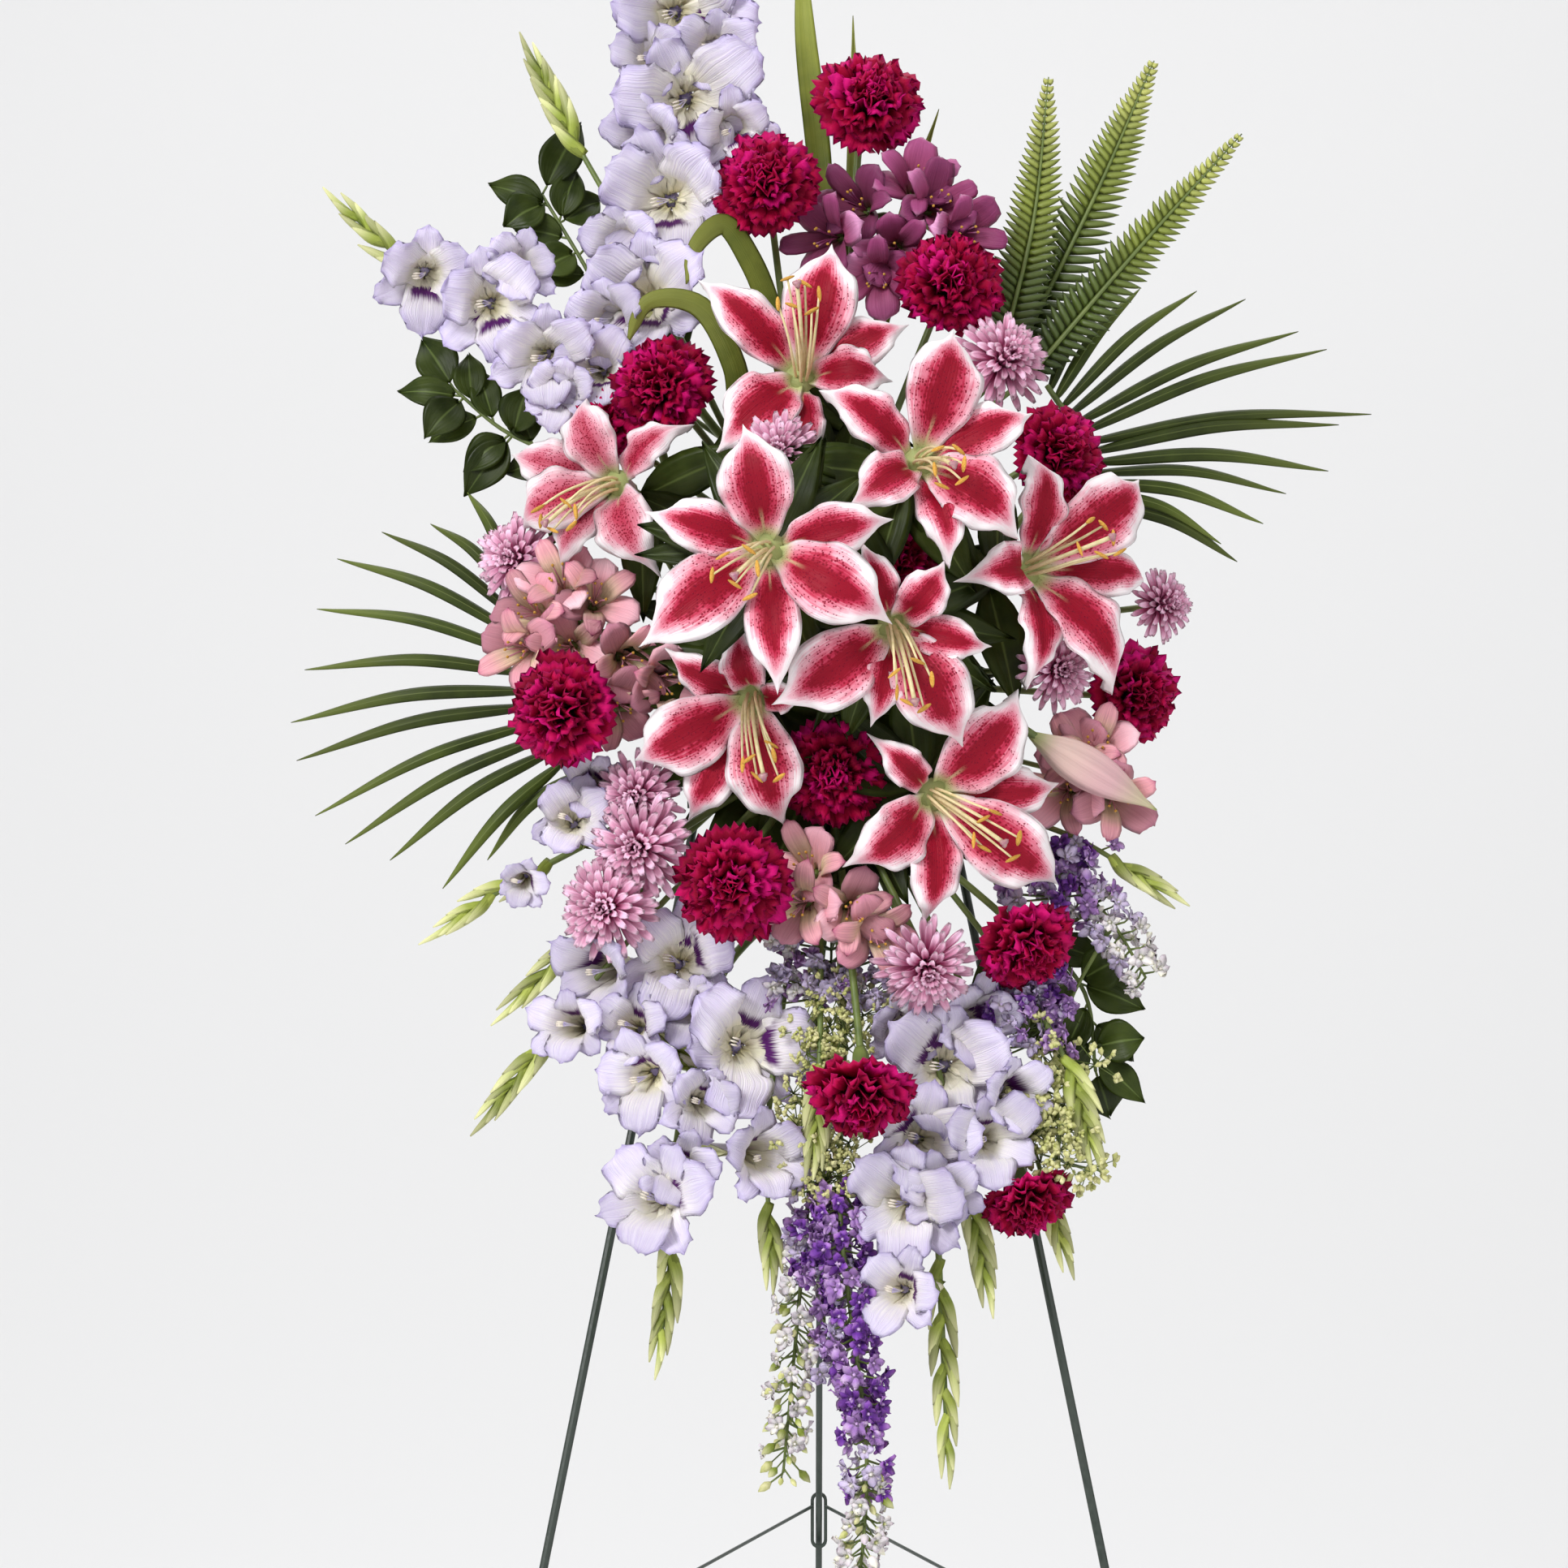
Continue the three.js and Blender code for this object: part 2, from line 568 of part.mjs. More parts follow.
// Stalks with closed green buds: from the outer end to the foam, with buds on both sides.
const BUD_STALKS = [
  { stalk: [[668, 95], [715, 185], [780, 300], [930, 600]], forward: [62, 70, 78, 86], buds: 5 },
  { stalk: [[620, 1350], [690, 1260], [800, 1130], [960, 960]], forward: [72, 80, 88, 86], buds: 3 },
  { stalk: [[655, 1215], [760, 1110], [960, 920]], forward: [80, 86, 86], buds: 2 },
  { stalk: [[1212, 1565], [1190, 1450], [1130, 1230], [1040, 990]], forward: [66, 78, 90, 88], buds: 4 },
  { stalk: [[1305, 1520], [1250, 1350], [1060, 970]], forward: [58, 72, 86], buds: 2 },
  { stalk: [[950, 1535], [945, 1400], [1000, 1000]], forward: [76, 86, 88], buds: 2 },
  { stalk: [[1412, 1085], [1330, 1035], [1060, 930]], forward: [84, 88, 86], buds: 2 },
  { stalk: [[1340, 1395], [1300, 1280], [1060, 950]], forward: [92, 96, 86], buds: 5 },
  { stalk: [[1005, 1395], [1010, 1300], [1010, 990]], forward: [108, 104, 88], buds: 4 },
];

const LARKSPUR = {
  larkspur_purple: {
    root: [8, -96],
    stalk: [[1058, 1965], [1068, 1800], [1035, 1490], [1040, 1280]],
    forward: [88, 90, 92, 60],
    florets: 13,
    aside: [],
  },
  larkspur_lavender: {
    root: [-6, -96],
    stalk: [[965, 1815], [985, 1600], [1000, 1420], [1005, 1250]],
    forward: [70, 74, 72, 50],
    florets: 10,
    aside: [[985, 1184], [1036, 1182], [1088, 1196], [1012, 1218]],
  },
  larkspur_right: {
    root: [34, -20],
    stalk: [[1412, 1205], [1365, 1130], [1300, 1070], [1220, 1020]],
    forward: [88, 88, 84, 50],
    florets: 6,
    aside: [[1330, 1050], [1244, 1272], [1306, 1276]],
  },
};

const PALMS = {
  palm_left: {
    rachis: [[632, 705], [655, 850], [705, 965]],
    forward: 62,
    root: [-34, 4],
    tips: [
      [575, 605], [530, 645], [470, 655], [415, 688], [390, 750], [375, 825], [358, 890], [365, 937],
      [388, 1005], [425, 1040], [480, 1060], [545, 1095], [600, 1060],
    ],
  },
  palm_right: {
    rachis: [[1290, 475], [1335, 545], [1362, 625]],
    forward: 62,
    root: [34, 60],
    tips: [
      [1350, 365], [1405, 355], [1475, 358], [1535, 368], [1600, 408], [1635, 430], [1690, 510], [1650, 523],
      [1637, 580], [1585, 608], [1557, 645], [1505, 670], [1525, 692],
    ],
  },
};

const FERNS = [
  { from: [1226, 462], bend: [1272, 280], tip: [1292, 95], forward: 62, wide: 23 },
  { from: [1246, 450], bend: [1350, 240], tip: [1422, 75], forward: 50, wide: 26 },
  { from: [1266, 466], bend: [1400, 310], tip: [1530, 165], forward: 76, wide: 21 },
];

const SWORD_LEAVES = [
  { seen: [[1010, 560], [1012, 240], [992, 40], [985, -95]], forward: [38, 46, 40, 34], wide: 9 },
  { seen: [[1018, 560], [1045, 330], [1052, 150], [1051, 20]], forward: [36, 40, 36, 32], wide: 5 },
  { seen: [[1022, 560], [1085, 400], [1120, 250], [1157, 135]], forward: [36, 38, 40, 42], wide: 6 },
];

// Leaves that grow on the flower stems: arched ones at the top, and broad ones over the foam.
const ARCHED_LEAVES = [
  {
    seen: [[985, 560], [955, 400], [925, 320], [892, 276], [860, 300], [846, 350]],
    forward: [88, 102, 106, 110, 112, 112],
  },
  {
    seen: [[960, 600], [915, 520], [905, 450], [860, 376], [800, 372], [772, 425]],
    forward: [90, 116, 128, 130, 126, 112],
  },
];
const COVER_LEAVES = { count: 10, length: 94, half: 23 };

const SALAL = {
  salal_upper: {
    root: [-20, 92],
    twig: [[668, 240], [722, 330], [800, 470], [930, 640]],
    forward: [44, 44, 38, 34],
    leaves: [[690, 200], [650, 262], [712, 262], [690, 322], [762, 350], [820, 430]],
  },
  salal_left: {
    root: [-34, 52],
    twig: [[560, 480], [620, 530], [760, 600], [920, 720]],
    forward: [50, 48, 46, 40],
    leaves: [[542, 452], [550, 512], [605, 570], [640, 510], [700, 620]],
  },
  salal_right: {
    root: [34, -60],
    twig: [[1350, 1320], [1335, 1220], [1240, 1110], [1090, 1000]],
    forward: [62, 60, 56, 44],
    leaves: [[1358, 1345], [1375, 1285], [1300, 1270], [1355, 1195], [1240, 1190]],
  },
};

// Stems.

// Every flower stem runs to the bundle of stems that stands in the slot of the foam.
function rootOf(point) {
  const height = point.clone().sub(holder(0, 0, 0)).dot(UP);
  const most = BUNDLE.height / 2 - 8;
  const side = Math.sign(point.x - TOP.x) * 5;
  return holder(side, clamp(height * 0.42, -most, most), foamFront + BUNDLE.forward);
}

const stemPaths = [];
function addStem(start, back, radius) {
  stemPaths.push({ points: [start, back, rootOf(back)], radius });
}

function bloomStem(bloom, depth, radius, inside = 8) {
  const axis = facing(bloom.yaw, bloom.pitch);
  const centre = place(bloom.at, bloom.forward);
  const size = bloom.size ?? 1;
  const back = (d) => centre.clone().addScaledVector(axis, -d);
  addStem(back(depth * size - inside), back(depth * size + 14), radius);
}

Object.values(LILIES).forEach((bloom) => bloomStem(bloom, TEPAL.tube + 4, STEM.lily, 10));
const carnations = [...Object.values(CARNATIONS), ...CARNATION_PAIR];
const chrysanthemums = [...Object.values(CHRYSANTHEMUMS), ...CHRYSANTHEMUM_CLUSTER];
carnations.forEach((bloom) => bloomStem(bloom, 24, STEM.carnation, 3));
chrysanthemums.forEach((bloom) => bloomStem(bloom, 14, STEM.chrysanthemum, 8));
Object.values(ALSTROEMERIA).forEach(({ at, forward }) => {
  const umbel = place(at, forward - 40);
  const out = umbel.clone().sub(rootOf(umbel)).normalize();
  addStem(umbel.clone().addScaledVector(out, 2), umbel.clone().addScaledVector(out, -12), STEM.alstroemeria);
});

// Calyx of a carnation: a green cup below its petals.
function calyx(bloom, grow) {
  const axis = facing(bloom.yaw, bloom.pitch);
  const centre = place(bloom.at, bloom.forward);
  const back = (d) => centre.clone().addScaledVector(axis, -d * (bloom.size ?? 1));
  return rod([back(38), back(17)], 4.4 + grow, 6.4 + grow, 5, grow);
}

// The lily bud's own stem.
const BUD = { from: [1270, 905], to: [1425, 998], forward: [150, 118], radius: 14 };
const budEnds = [place(BUD.from, BUD.forward[0]), place(BUD.to, BUD.forward[1])];
const budBack = (d) => budEnds[0].clone().addScaledVector(budEnds[1].clone().sub(budEnds[0]).normalize(), d);
addStem(budBack(10), budBack(-14), STEM.lily * 0.8);

const stalkOf = ({ stalk, forward }) => stalk.map((seen, i) => place(seen, forward[i]));

function stalkRod(points, radius, tip, grow) {
  const inner = [rootOf(points.at(-1)), ...points.slice(0, -1).reverse()];
  return rod(inner, radius * 1.2 + grow, tip * 1.2 + grow, 3);
}

// Closed green buds on both sides of a stalk's outer end.
function stalkBuds(points, count, grow) {
  const path = new THREE.CatmullRomCurve3(points);
  return Array.from({ length: count }, (_, k) => {
    const t = (k / count) * 0.42;
    const at = path.getPoint(t);
    const out = path.getTangent(t).negate();
    const across = out.clone().cross(FORWARD).normalize().multiplyScalar(k % 2 ? 1 : -1);
    const start = at.clone().addScaledVector(out, -3 - grow);
    const tip = at
      .clone()
      .addScaledVector(out, 26 + k * 2 + grow)
      .addScaledVector(across, k ? 10 : 1)
      .addScaledVector(FORWARD, 5);
    return bud(start, tip, 4.4 + k * 0.4 + grow * 1.9, 3);
  });
}

// Broad leaves that fan out from the bundle of stems over the front of the foam.
function coverLeaves(grow, solids) {
  const { count, length, half } = COVER_LEAVES;
  for (let k = 0; k < count; k++) {
    const side = k % 2 ? 1 : -1;
    const row = Math.floor(k / 2) / (count / 2 - 1);
    const start = holder(side * 6, lerp(-66, 66, row), foamFront + 7);
    const turn = degToRad(lerp(-62, 62, row) + side * 7);
    const out = V(side * Math.cos(turn), 0, 0).addScaledVector(UP, Math.sin(turn)).normalize();
    const tip = start.clone().addScaledVector(out, length + grow).addScaledVector(FORWARD, 10);
    const bend = start.clone().lerp(tip, 0.5).addScaledVector(FORWARD, 8);
    solids.push(
      blade({
        spine: new THREE.CatmullRomCurve3([start, bend, tip]),
        side: FORWARD.clone().cross(out),
        half: (t) => (t === 1 ? 0 : 3 + (half - 3) * Math.sin(Math.PI * t) + grow),
        cup: (t) => 2.5 * Math.sin(Math.PI * t),
        thick: 1.4 + grow * 2,
        steps: 3,
      })
    );
  }
}

function stemSolids(grow) {
  const solids = stemPaths.map(({ points, radius }) => {
    return rod([...points].reverse(), radius * 1.2 + grow * 1.2, radius * 1.1 + grow * 1.2, 3, grow);
  });
  carnations.forEach((bloom) => solids.push(calyx(bloom, grow)));
  BUD_STALKS.forEach((spike) => {
    solids.push(stalkRod(stalkOf(spike), 2.6, 1.6, grow));
    solids.push(...stalkBuds(stalkOf(spike), spike.buds, grow));
  });
  ARCHED_LEAVES.forEach(({ seen, forward }) => {
    const path = seen.map((spot, i) => place(spot, forward[i]));
    solids.push(
      blade({
        spine: new THREE.CatmullRomCurve3([rootOf(path[0]), ...path]),
        side: V(0.25, -0.95, 0).cross(UP).normalize(),
        half: (t) => (t === 1 ? 0 : 3 + grow + 5.5 * Math.sin(Math.PI * Math.min(1, t * 0.9 + 0.08))),
        thick: 1.7 + grow * 2,
        steps: 9,
      })
    );
  });
  coverLeaves(grow, solids);
  const { width, height, deep, front } = BUNDLE;
  solids.push(block(width + 2 * grow, height + 2 * grow, foamFront - deep - grow, foamFront + front + grow));
  return solids;
}

// Foliage.

// A stalk ends in its own plain hole in a side or the top of the foam.
const intoFoam = ([u, w]) => holder(u, w, foamBack + 22);

// The point outside the foam where such a stalk comes out of a side, or of the top or bottom.
function besideFoam([u, w], away = 44) {
  if (Math.abs(w) > 80) return holder(u, w + Math.sign(w) * away, foamBack + 22);
  return holder(u + Math.sign(u) * away, w, foamBack + 22);
}

// A palm frond: leaflets along a rib, and the stalk that carries it.
function palm({ rachis, forward, root, tips }, grow = 0) {
  const [top, middle, low] = rachis.map((seen) => place(seen, forward));
  const stalk = rod([intoFoam(root), besideFoam(root), middle], 2.6 + grow, 3 + grow, 4);
  if (grow) return stalk;
  const rib = new THREE.CatmullRomCurve3([top, middle, low]);
  const leaflets = tips.map((seen, k) => {
    const start = rib.getPoint((k + 0.5) / tips.length);
    const tip = place(seen, forward - 24 + (k % 3) * 5);
    const out = tip.clone().sub(start);
    const bend = start.clone().addScaledVector(out, 0.5).add(V(0, 0, 6)).addScaledVector(FORWARD, 9);
    return blade({
      spine: new THREE.CatmullRomCurve3([start, bend, tip]),
      side: FORWARD.clone().cross(out).normalize(),
      half: (t) => (t === 1 ? 0 : 1.8 + 2.9 * Math.sin(Math.PI * t)),
      cup: (t) => -1.6 * Math.sin(Math.PI * t),
      thick: 1.5,
      steps: 2,
    });
  });
  return fuse([stalk, rod([top, middle, low], 2.6, 2, 4), leaflets]);
}

// A fern frond: one arched blade, its outline cut to the rib between leaflets.
function frond({ from, bend, tip, forward, wide }) {
  const pairs = 10;
  const points = [place(from, forward - 8), place(bend, forward + 10), place(tip, forward - 6)];
  const spine = new THREE.CatmullRomCurve3(points);
  const along = spine.getPoint(1).sub(spine.getPoint(0));
  return blade({
    spine,
    side: FORWARD.clone().cross(along).normalize(),
    half: (t, i) => {
      if (t === 1) return 0;
      const full = wide * (1 - Math.pow(t, 2.4)) * Math.min(1, 0.25 + t * 3);
      return i % 2 ? Math.max(full, 2.4) : 2.1;
    },
    cup: (t) => -2.5 * Math.sin(Math.PI * t),
    thick: 1.8,
    steps: pairs * 2,
  });
}

function ferns(grow = 0) {
  const start = FERNS.map(({ from, forward }) => place(from, forward - 8));
  const root = intoFoam([26, 96]);
  const above = holder(30, FOAM.height / 2 + 22, foamBack + 20);
  const branches = start.map((at) => rod([above.clone().addScaledVector(UP, -4), at], 2 + grow, 2 + grow, 4));
  const stalks = [rod([root, above], 3.2 + grow, 3.2 + grow, 5), ...branches];
  return grow ? stalks : fuse([...stalks, FERNS.map(frond)]);
}

function swordLeaves(grow = 0) {
  const root = holder(-4, 92, foamBack + 28);
  const collar = holder(-4, FOAM.height / 2 + 16, foamBack + 28);
  const stalk = rod([root, collar], 4.5 + grow, 6 + grow, 6);
  if (grow) return stalk;
  const leaves = SWORD_LEAVES.map(({ seen, forward, wide }) => {
    const above = seen.slice(1).map((s, i) => place(s, forward[i + 1]));
    const spine = new THREE.CatmullRomCurve3([collar.clone().addScaledVector(UP, -3), ...above]);
    return blade({
      spine,
      side: V(1, 0, 0.2),
      half: (t) => (t === 1 ? 0 : wide * (0.55 + 0.45 * Math.sin(Math.PI * t)) * (1 - Math.pow(t, 5))),
      cup: () => 1.2,
      thick: 1.6,
      steps: 7,
    });
  });
  return fuse([stalk, leaves]);
}

// A twig of broad leaves.
function salal({ root, twig, forward, leaves }, grow = 0) {
  const points = twig.map((seen, i) => place(seen, forward[i]));
  const path = new THREE.CatmullRomCurve3(points.slice(0, -1));
  const along = [intoFoam(root), besideFoam(root), ...points.slice(0, -1).reverse()];
  const stalk = rod(along, 2.2 + grow, 1.3 + grow, 4);
  if (grow) return stalk;
  const blades = leaves.map((seen, k) => {
    const centre = place(seen, forward[0] + (k % 2 ? 4 : -6));
    const near = Array.from({ length: 21 }, (_, i) => path.getPoint(i / 20));
    near.sort((a, b) => a.distanceTo(centre) - b.distanceTo(centre));
    const clearPlace = (p) => p.distanceTo(centre) > 20;
    const start = near[0].distanceTo(centre) < 12 ? near.find(clearPlace) : near[0];
    const tip = start.clone().lerp(centre, 1 + 32 / Math.max(28, start.distanceTo(centre)));
    const out = tip.clone().sub(start);
    const spine = new THREE.CatmullRomCurve3([
      start,
      start.clone().addScaledVector(out, 0.5).addScaledVector(FORWARD, 5),
      tip,
    ]);
    return blade({
      spine,
      side: FORWARD.clone().cross(out).normalize(),
      half: (t) => (t === 1 ? 0 : 1.4 + 17 * Math.sin(Math.PI * Math.pow(t, 0.85)) ** 1.2),
      cup: () => 2.5,
      thick: 1.4,
      steps: 3,
    });
  });
  return fuse([stalk, blades]);
}

// A spike of open florets on its own green stalk, which stands in the foam.
function spikeStalk({ stalk, forward, root }, radius, tip, grow = 0) {
  const points = stalkOf({ stalk, forward }).reverse();
  return rod([intoFoam(root), besideFoam(root), ...points], radius + grow, tip + grow, 4);
}

function gladiolusSpike(spike, grow = 0) {
  const stalk = spikeStalk(spike, STEM.gladiolus, 2, grow);
  if (grow) return stalk;
  const path = new THREE.CatmullRomCurve3(stalkOf(spike));
  const spots = Array.from({ length: 61 }, (_, i) => path.getPoint(i / 60));
  const florets = spike.florets.map((seen, k) => {
    const target = place(seen, 70);
    const near = [...spots].sort((a, b) => a.distanceTo(target) - b.distanceTo(target))[0];
    const front = forwardOf(near) + 44;
    return floretFrom(near, seen, front, k * 31, { width: GLADIOLUS_WIDTH * seen[2], tube: 6 });
  });
  return fuse([stalk, florets, stalkBuds(stalkOf(spike), spike.buds, 0)]);
}

function larkspurSpike(spike, grow = 0) {
  const stalk = spikeStalk(spike, 2.2, 1.4, grow);
  if (grow) return stalk;
  const points = spike.stalk.slice(0, -1).map((seen, i) => place(seen, spike.forward[i]));
  const path = new THREE.CatmullRomCurve3(points);
  const random = seeded(spike.stalk[0][0]);
  const star = (centre, size) => {
    const yaw = size.yaw + 14 * random() - 7;
    const turned = { yaw, pitch: 20 - 30 * random(), spin: 72 * random() };
    const frame = frameOf({ at: [0, 0], forward: 0, ...turned });
    frame.setPosition(centre);
    const half = (LARKSPUR_WIDTH / 2) * size.wide;
    return whorl(frame, 8, -8.5, [(i) => [half * (i % 2 ? 0.55 : 1), i % 2 ? 0 : 3]], 2);
  };
  const florets = Array.from({ length: spike.florets }, (_, k) => {
    const t = (k + 0.15) / (spike.florets - 0.5);
    const yaw = [-58, 8, 60][k % 3];
    const centre = path.getPoint(t).addScaledVector(facing(yaw, 5), 8);
    return star(centre, { yaw, wide: lerp(0.8, 1.25, Math.min(1, t * 2)) });
  });
  const trunk = path.getPoint(1);
  spike.aside.forEach((seen) => {
    const centre = place(seen, spike.forward[0] + 14);
    florets.push(rod([trunk, centre.clone().addScaledVector(FORWARD, -5)], 1.4, 1.2, 3));
    florets.push(star(centre, { yaw: 0, wide: 1.3 }));
  });
  return fuse([stalk, florets]);
}

// The group.

const group = new THREE.Group();

function add(name, solid, color, roughness, metalness = 0) {
  const { vertProperties, triVerts } = solid.getMesh();
  const geometry = new THREE.BufferGeometry();
  geometry.setAttribute("position", new THREE.BufferAttribute(new Float32Array(vertProperties), 3));
  geometry.setIndex(new THREE.BufferAttribute(new Uint32Array(triVerts), 1));
  geometry.computeVertexNormals();
  const mesh = new THREE.Mesh(geometry, new THREE.MeshStandardMaterial({ color, roughness, metalness }));
  mesh.name = name;
  group.add(mesh);
}

const COLOR = {
  easel: "#1d2a22",
  foam: "#3c6b3a",
  tray: "#245a34",
  lily: "#d6457f",
  carnation: "#a8123f",
  chrysanthemum: "#b77aa9",
  alstroemeria: "#b0708f",
  gladiolus: "#b9aede",
  purple: "#5b3a8e",
  lavender: "#cfc3e2",
  stem: "#5f8a3d",
  palm: "#3f7a3a",
  fern: "#4f8a3c",
  sword: "#5f9a48",
  salal: "#2f5a33",
  bud: "#e7b9c4",
};

const stems = fuse(stemSolids(0));
const room = stemSolids(GAP * 1.9).reduce((all, solid) => all.add(solid));
const clear = (solid) => clearOf(solid, room);

// Easel.
add("front_leg_left", frontLeg(-1), COLOR.easel, 0.45, 0.3);
add("front_leg_right", frontLeg(1), COLOR.easel, 0.45, 0.3);
add("top_bar", topBar(), COLOR.easel, 0.45, 0.3);
const barHeight = (s) => FOAM.middle + (s * CROSSBAR_APART * LEAN.cos) / 2;
add("crossbar_upper", crossbar(barHeight(1)), COLOR.easel, 0.45, 0.3);
add("crossbar_lower", crossbar(barHeight(-1)), COLOR.easel, 0.45, 0.3);
add("back_leg", backLeg(), COLOR.easel, 0.45, 0.3);
add("spreader_loop", spreaderLoop(), COLOR.easel, 0.45, 0.3);
add("spreader_arm_left", spreaderArm(-1), COLOR.easel, 0.45, 0.3);
add("spreader_arm_right", spreaderArm(1), COLOR.easel, 0.45, 0.3);

// Holder. The tray's floor lies in front of the crossbars, and two hooks go over the upper one.
const foliageHoles = [
  ...Object.values(PALMS).map((leaf) => palm(leaf, GAP * 1.5)),
  ...Object.values(SALAL).map((twig) => salal(twig, GAP * 1.5)),
  ...Object.values(GLADIOLUS).map((spike) => gladiolusSpike(spike, GAP * 1.5)),
  ...Object.values(LARKSPUR).map((spike) => larkspurSpike(spike, GAP * 1.5)),
  ...ferns(GAP * 1.5),
  swordLeaves(GAP * 1.5),
].reduce((all, solid) => all.add(solid));
const foam = block(FOAM.width, FOAM.height, foamBack, foamFront)
  .subtract(block(SLOT.width, SLOT.height, foamFront - SLOT.depth, foamFront + 5))
  .subtract(foliageHoles)
  .subtract(room);
add("foam_brick", fuse([foam]), COLOR.foam, 0.95);

const trayBack = foamBack - GAP - TRAY.wall;
const tray = block(
  FOAM.width + 2 * (GAP + TRAY.wall),
  FOAM.height + 2 * (GAP + TRAY.wall),
  trayBack,
  trayBack + TRAY.rim
).subtract(block(FOAM.width + 2 * GAP, FOAM.height + 2 * GAP, trayBack + TRAY.wall, trayBack + TRAY.rim + 5));
const hooks = [-1, 1].map((s) => {
  const { apart, width, thick } = TRAY.hook;
  const above = CROSSBAR_APART / 2 + LEG_RADIUS + GAP + thick / 2;
  const behind = barOffset - LEG_RADIUS - GAP;
  return [
    block(width, thick, behind - thick, trayBack + 0.5, above, (s * apart) / 2),
    block(width, 9, behind - thick, behind, above - 4.5 + thick / 2, (s * apart) / 2),
  ];
});
add("foam_tray", fuse([tray, hooks]), COLOR.tray, 0.6);

add("stems", stems, COLOR.stem, 0.7);
Object.entries(LILIES).forEach(([name, bloom]) => add(name, clear(lily(bloom)), COLOR.lily, 0.6));
const lilyBud = bud(...budEnds, BUD.radius);
add("lily_bud", clear(lilyBud), COLOR.bud, 0.6);
Object.entries(CARNATIONS).forEach(([name, bloom]) => {
  add(name, clear(carnation(bloom)), COLOR.carnation, 0.85);
});
add("carnation_pair", clear(fuse(CARNATION_PAIR.map(carnation))), COLOR.carnation, 0.85);
Object.entries(CHRYSANTHEMUMS).forEach(([name, bloom]) => {
  add(name, clear(chrysanthemum(bloom)), COLOR.chrysanthemum, 0.8);
});
const cluster = fuse(CHRYSANTHEMUM_CLUSTER.map(chrysanthemum));
add("chrysanthemum_cluster", clear(cluster), COLOR.chrysanthemum, 0.8);
Object.entries(ALSTROEMERIA).forEach(([name, umbel]) => {
  add(name, clear(alstroemeria(umbel)), COLOR.alstroemeria, 0.75);
});
Object.entries(GLADIOLUS).forEach(([name, spike]) => {
  add(name, clear(gladiolusSpike(spike)), COLOR.gladiolus, 0.7);
});
Object.entries(LARKSPUR).forEach(([name, spike]) => {
  add(name, clear(larkspurSpike(spike)), name === "larkspur_purple" ? COLOR.purple : COLOR.lavender, 0.75);
});
Object.entries(PALMS).forEach(([name, leaf]) => add(name, clear(palm(leaf)), COLOR.palm, 0.6));
Object.entries(SALAL).forEach(([name, twig]) => add(name, clear(salal(twig)), COLOR.salal, 0.5));
add("sword_ferns", clear(ferns()), COLOR.fern, 0.6);
add("sword_leaves", clear(swordLeaves()), COLOR.sword, 0.6);

export default group;
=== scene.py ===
"""Looks of a standing funeral spray on its wire easel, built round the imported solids.
Places are worked out in millimetres and meshes are stored in metres. +X is the viewer's right,
-Y is towards the viewer, and +Z is up."""

import math
import random

import bpy
import numpy as np
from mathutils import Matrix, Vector


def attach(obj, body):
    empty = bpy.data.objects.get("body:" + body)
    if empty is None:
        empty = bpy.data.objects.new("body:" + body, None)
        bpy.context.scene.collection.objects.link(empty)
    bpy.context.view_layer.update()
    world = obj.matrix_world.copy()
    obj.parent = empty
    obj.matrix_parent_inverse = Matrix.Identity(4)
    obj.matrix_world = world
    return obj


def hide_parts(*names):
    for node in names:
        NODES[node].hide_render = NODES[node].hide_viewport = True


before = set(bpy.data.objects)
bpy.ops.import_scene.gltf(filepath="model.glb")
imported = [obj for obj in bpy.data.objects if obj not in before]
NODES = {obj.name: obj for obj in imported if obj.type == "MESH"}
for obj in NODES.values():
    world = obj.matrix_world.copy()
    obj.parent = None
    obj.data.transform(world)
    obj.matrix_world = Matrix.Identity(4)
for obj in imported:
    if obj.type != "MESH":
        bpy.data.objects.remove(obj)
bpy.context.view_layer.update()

# The photograph is 1932 pixels square. A pixel is 0.55 mm at the flowers, which are 3.2 m from the camera.
# The easel stands under column 1015 of it, and the camera is 1.1 m above the floor.
PICTURE = {"pixels": 1932, "middle": 966, "easel_column": 1015, "scale": 0.55, "distance": 3200}
EYE_BEFORE_EASEL = 3350
EYE_HEIGHT = 1104.0
EASEL_HEIGHT = 1450.0
EASEL_TOP = np.array([-9.0, -58.0, EASEL_HEIGHT])
LEAN = math.radians(12)
ASIDE = (PICTURE["middle"] - PICTURE["easel_column"]) * PICTURE["scale"]
EYE = np.array([EASEL_TOP[0] + ASIDE, EASEL_TOP[1] - EYE_BEFORE_EASEL, EYE_HEIGHT])
FORWARD = np.array([0, -math.cos(LEAN), math.sin(LEAN)])
UP = np.array([0, math.sin(LEAN), math.cos(LEAN)])
RIGHT = np.array([1.0, 0, 0])
SENSOR_WIDTH = 36


def show(piece):
    bpy.context.scene.collection.objects.link(piece)
    return piece


# Camera.
def set_camera():
    data = bpy.data.cameras.new("camera")
    data.sensor_width = SENSOR_WIDTH
    data.lens = SENSOR_WIDTH * PICTURE["distance"] / (PICTURE["pixels"] * PICTURE["scale"])
    camera = show(bpy.data.objects.new("camera", data))
    camera.location = EYE / 1000
    camera.rotation_euler = (math.radians(90), 0, 0)
    bpy.context.scene.camera = camera


set_camera()


# Places and curves.
def unit(v):
    v = np.asarray(v, float)
    return v / max(np.linalg.norm(v), 1e-9)


def sight(seen):
    scale, middle = PICTURE["scale"], PICTURE["middle"]
    return np.array([(seen[0] - middle) * scale, PICTURE["distance"], (middle - seen[1]) * scale])


def on_plane(seen, point, normal):
    ray = sight(seen)
    return EYE + ray * (np.dot(point - EYE, normal) / np.dot(ray, normal))


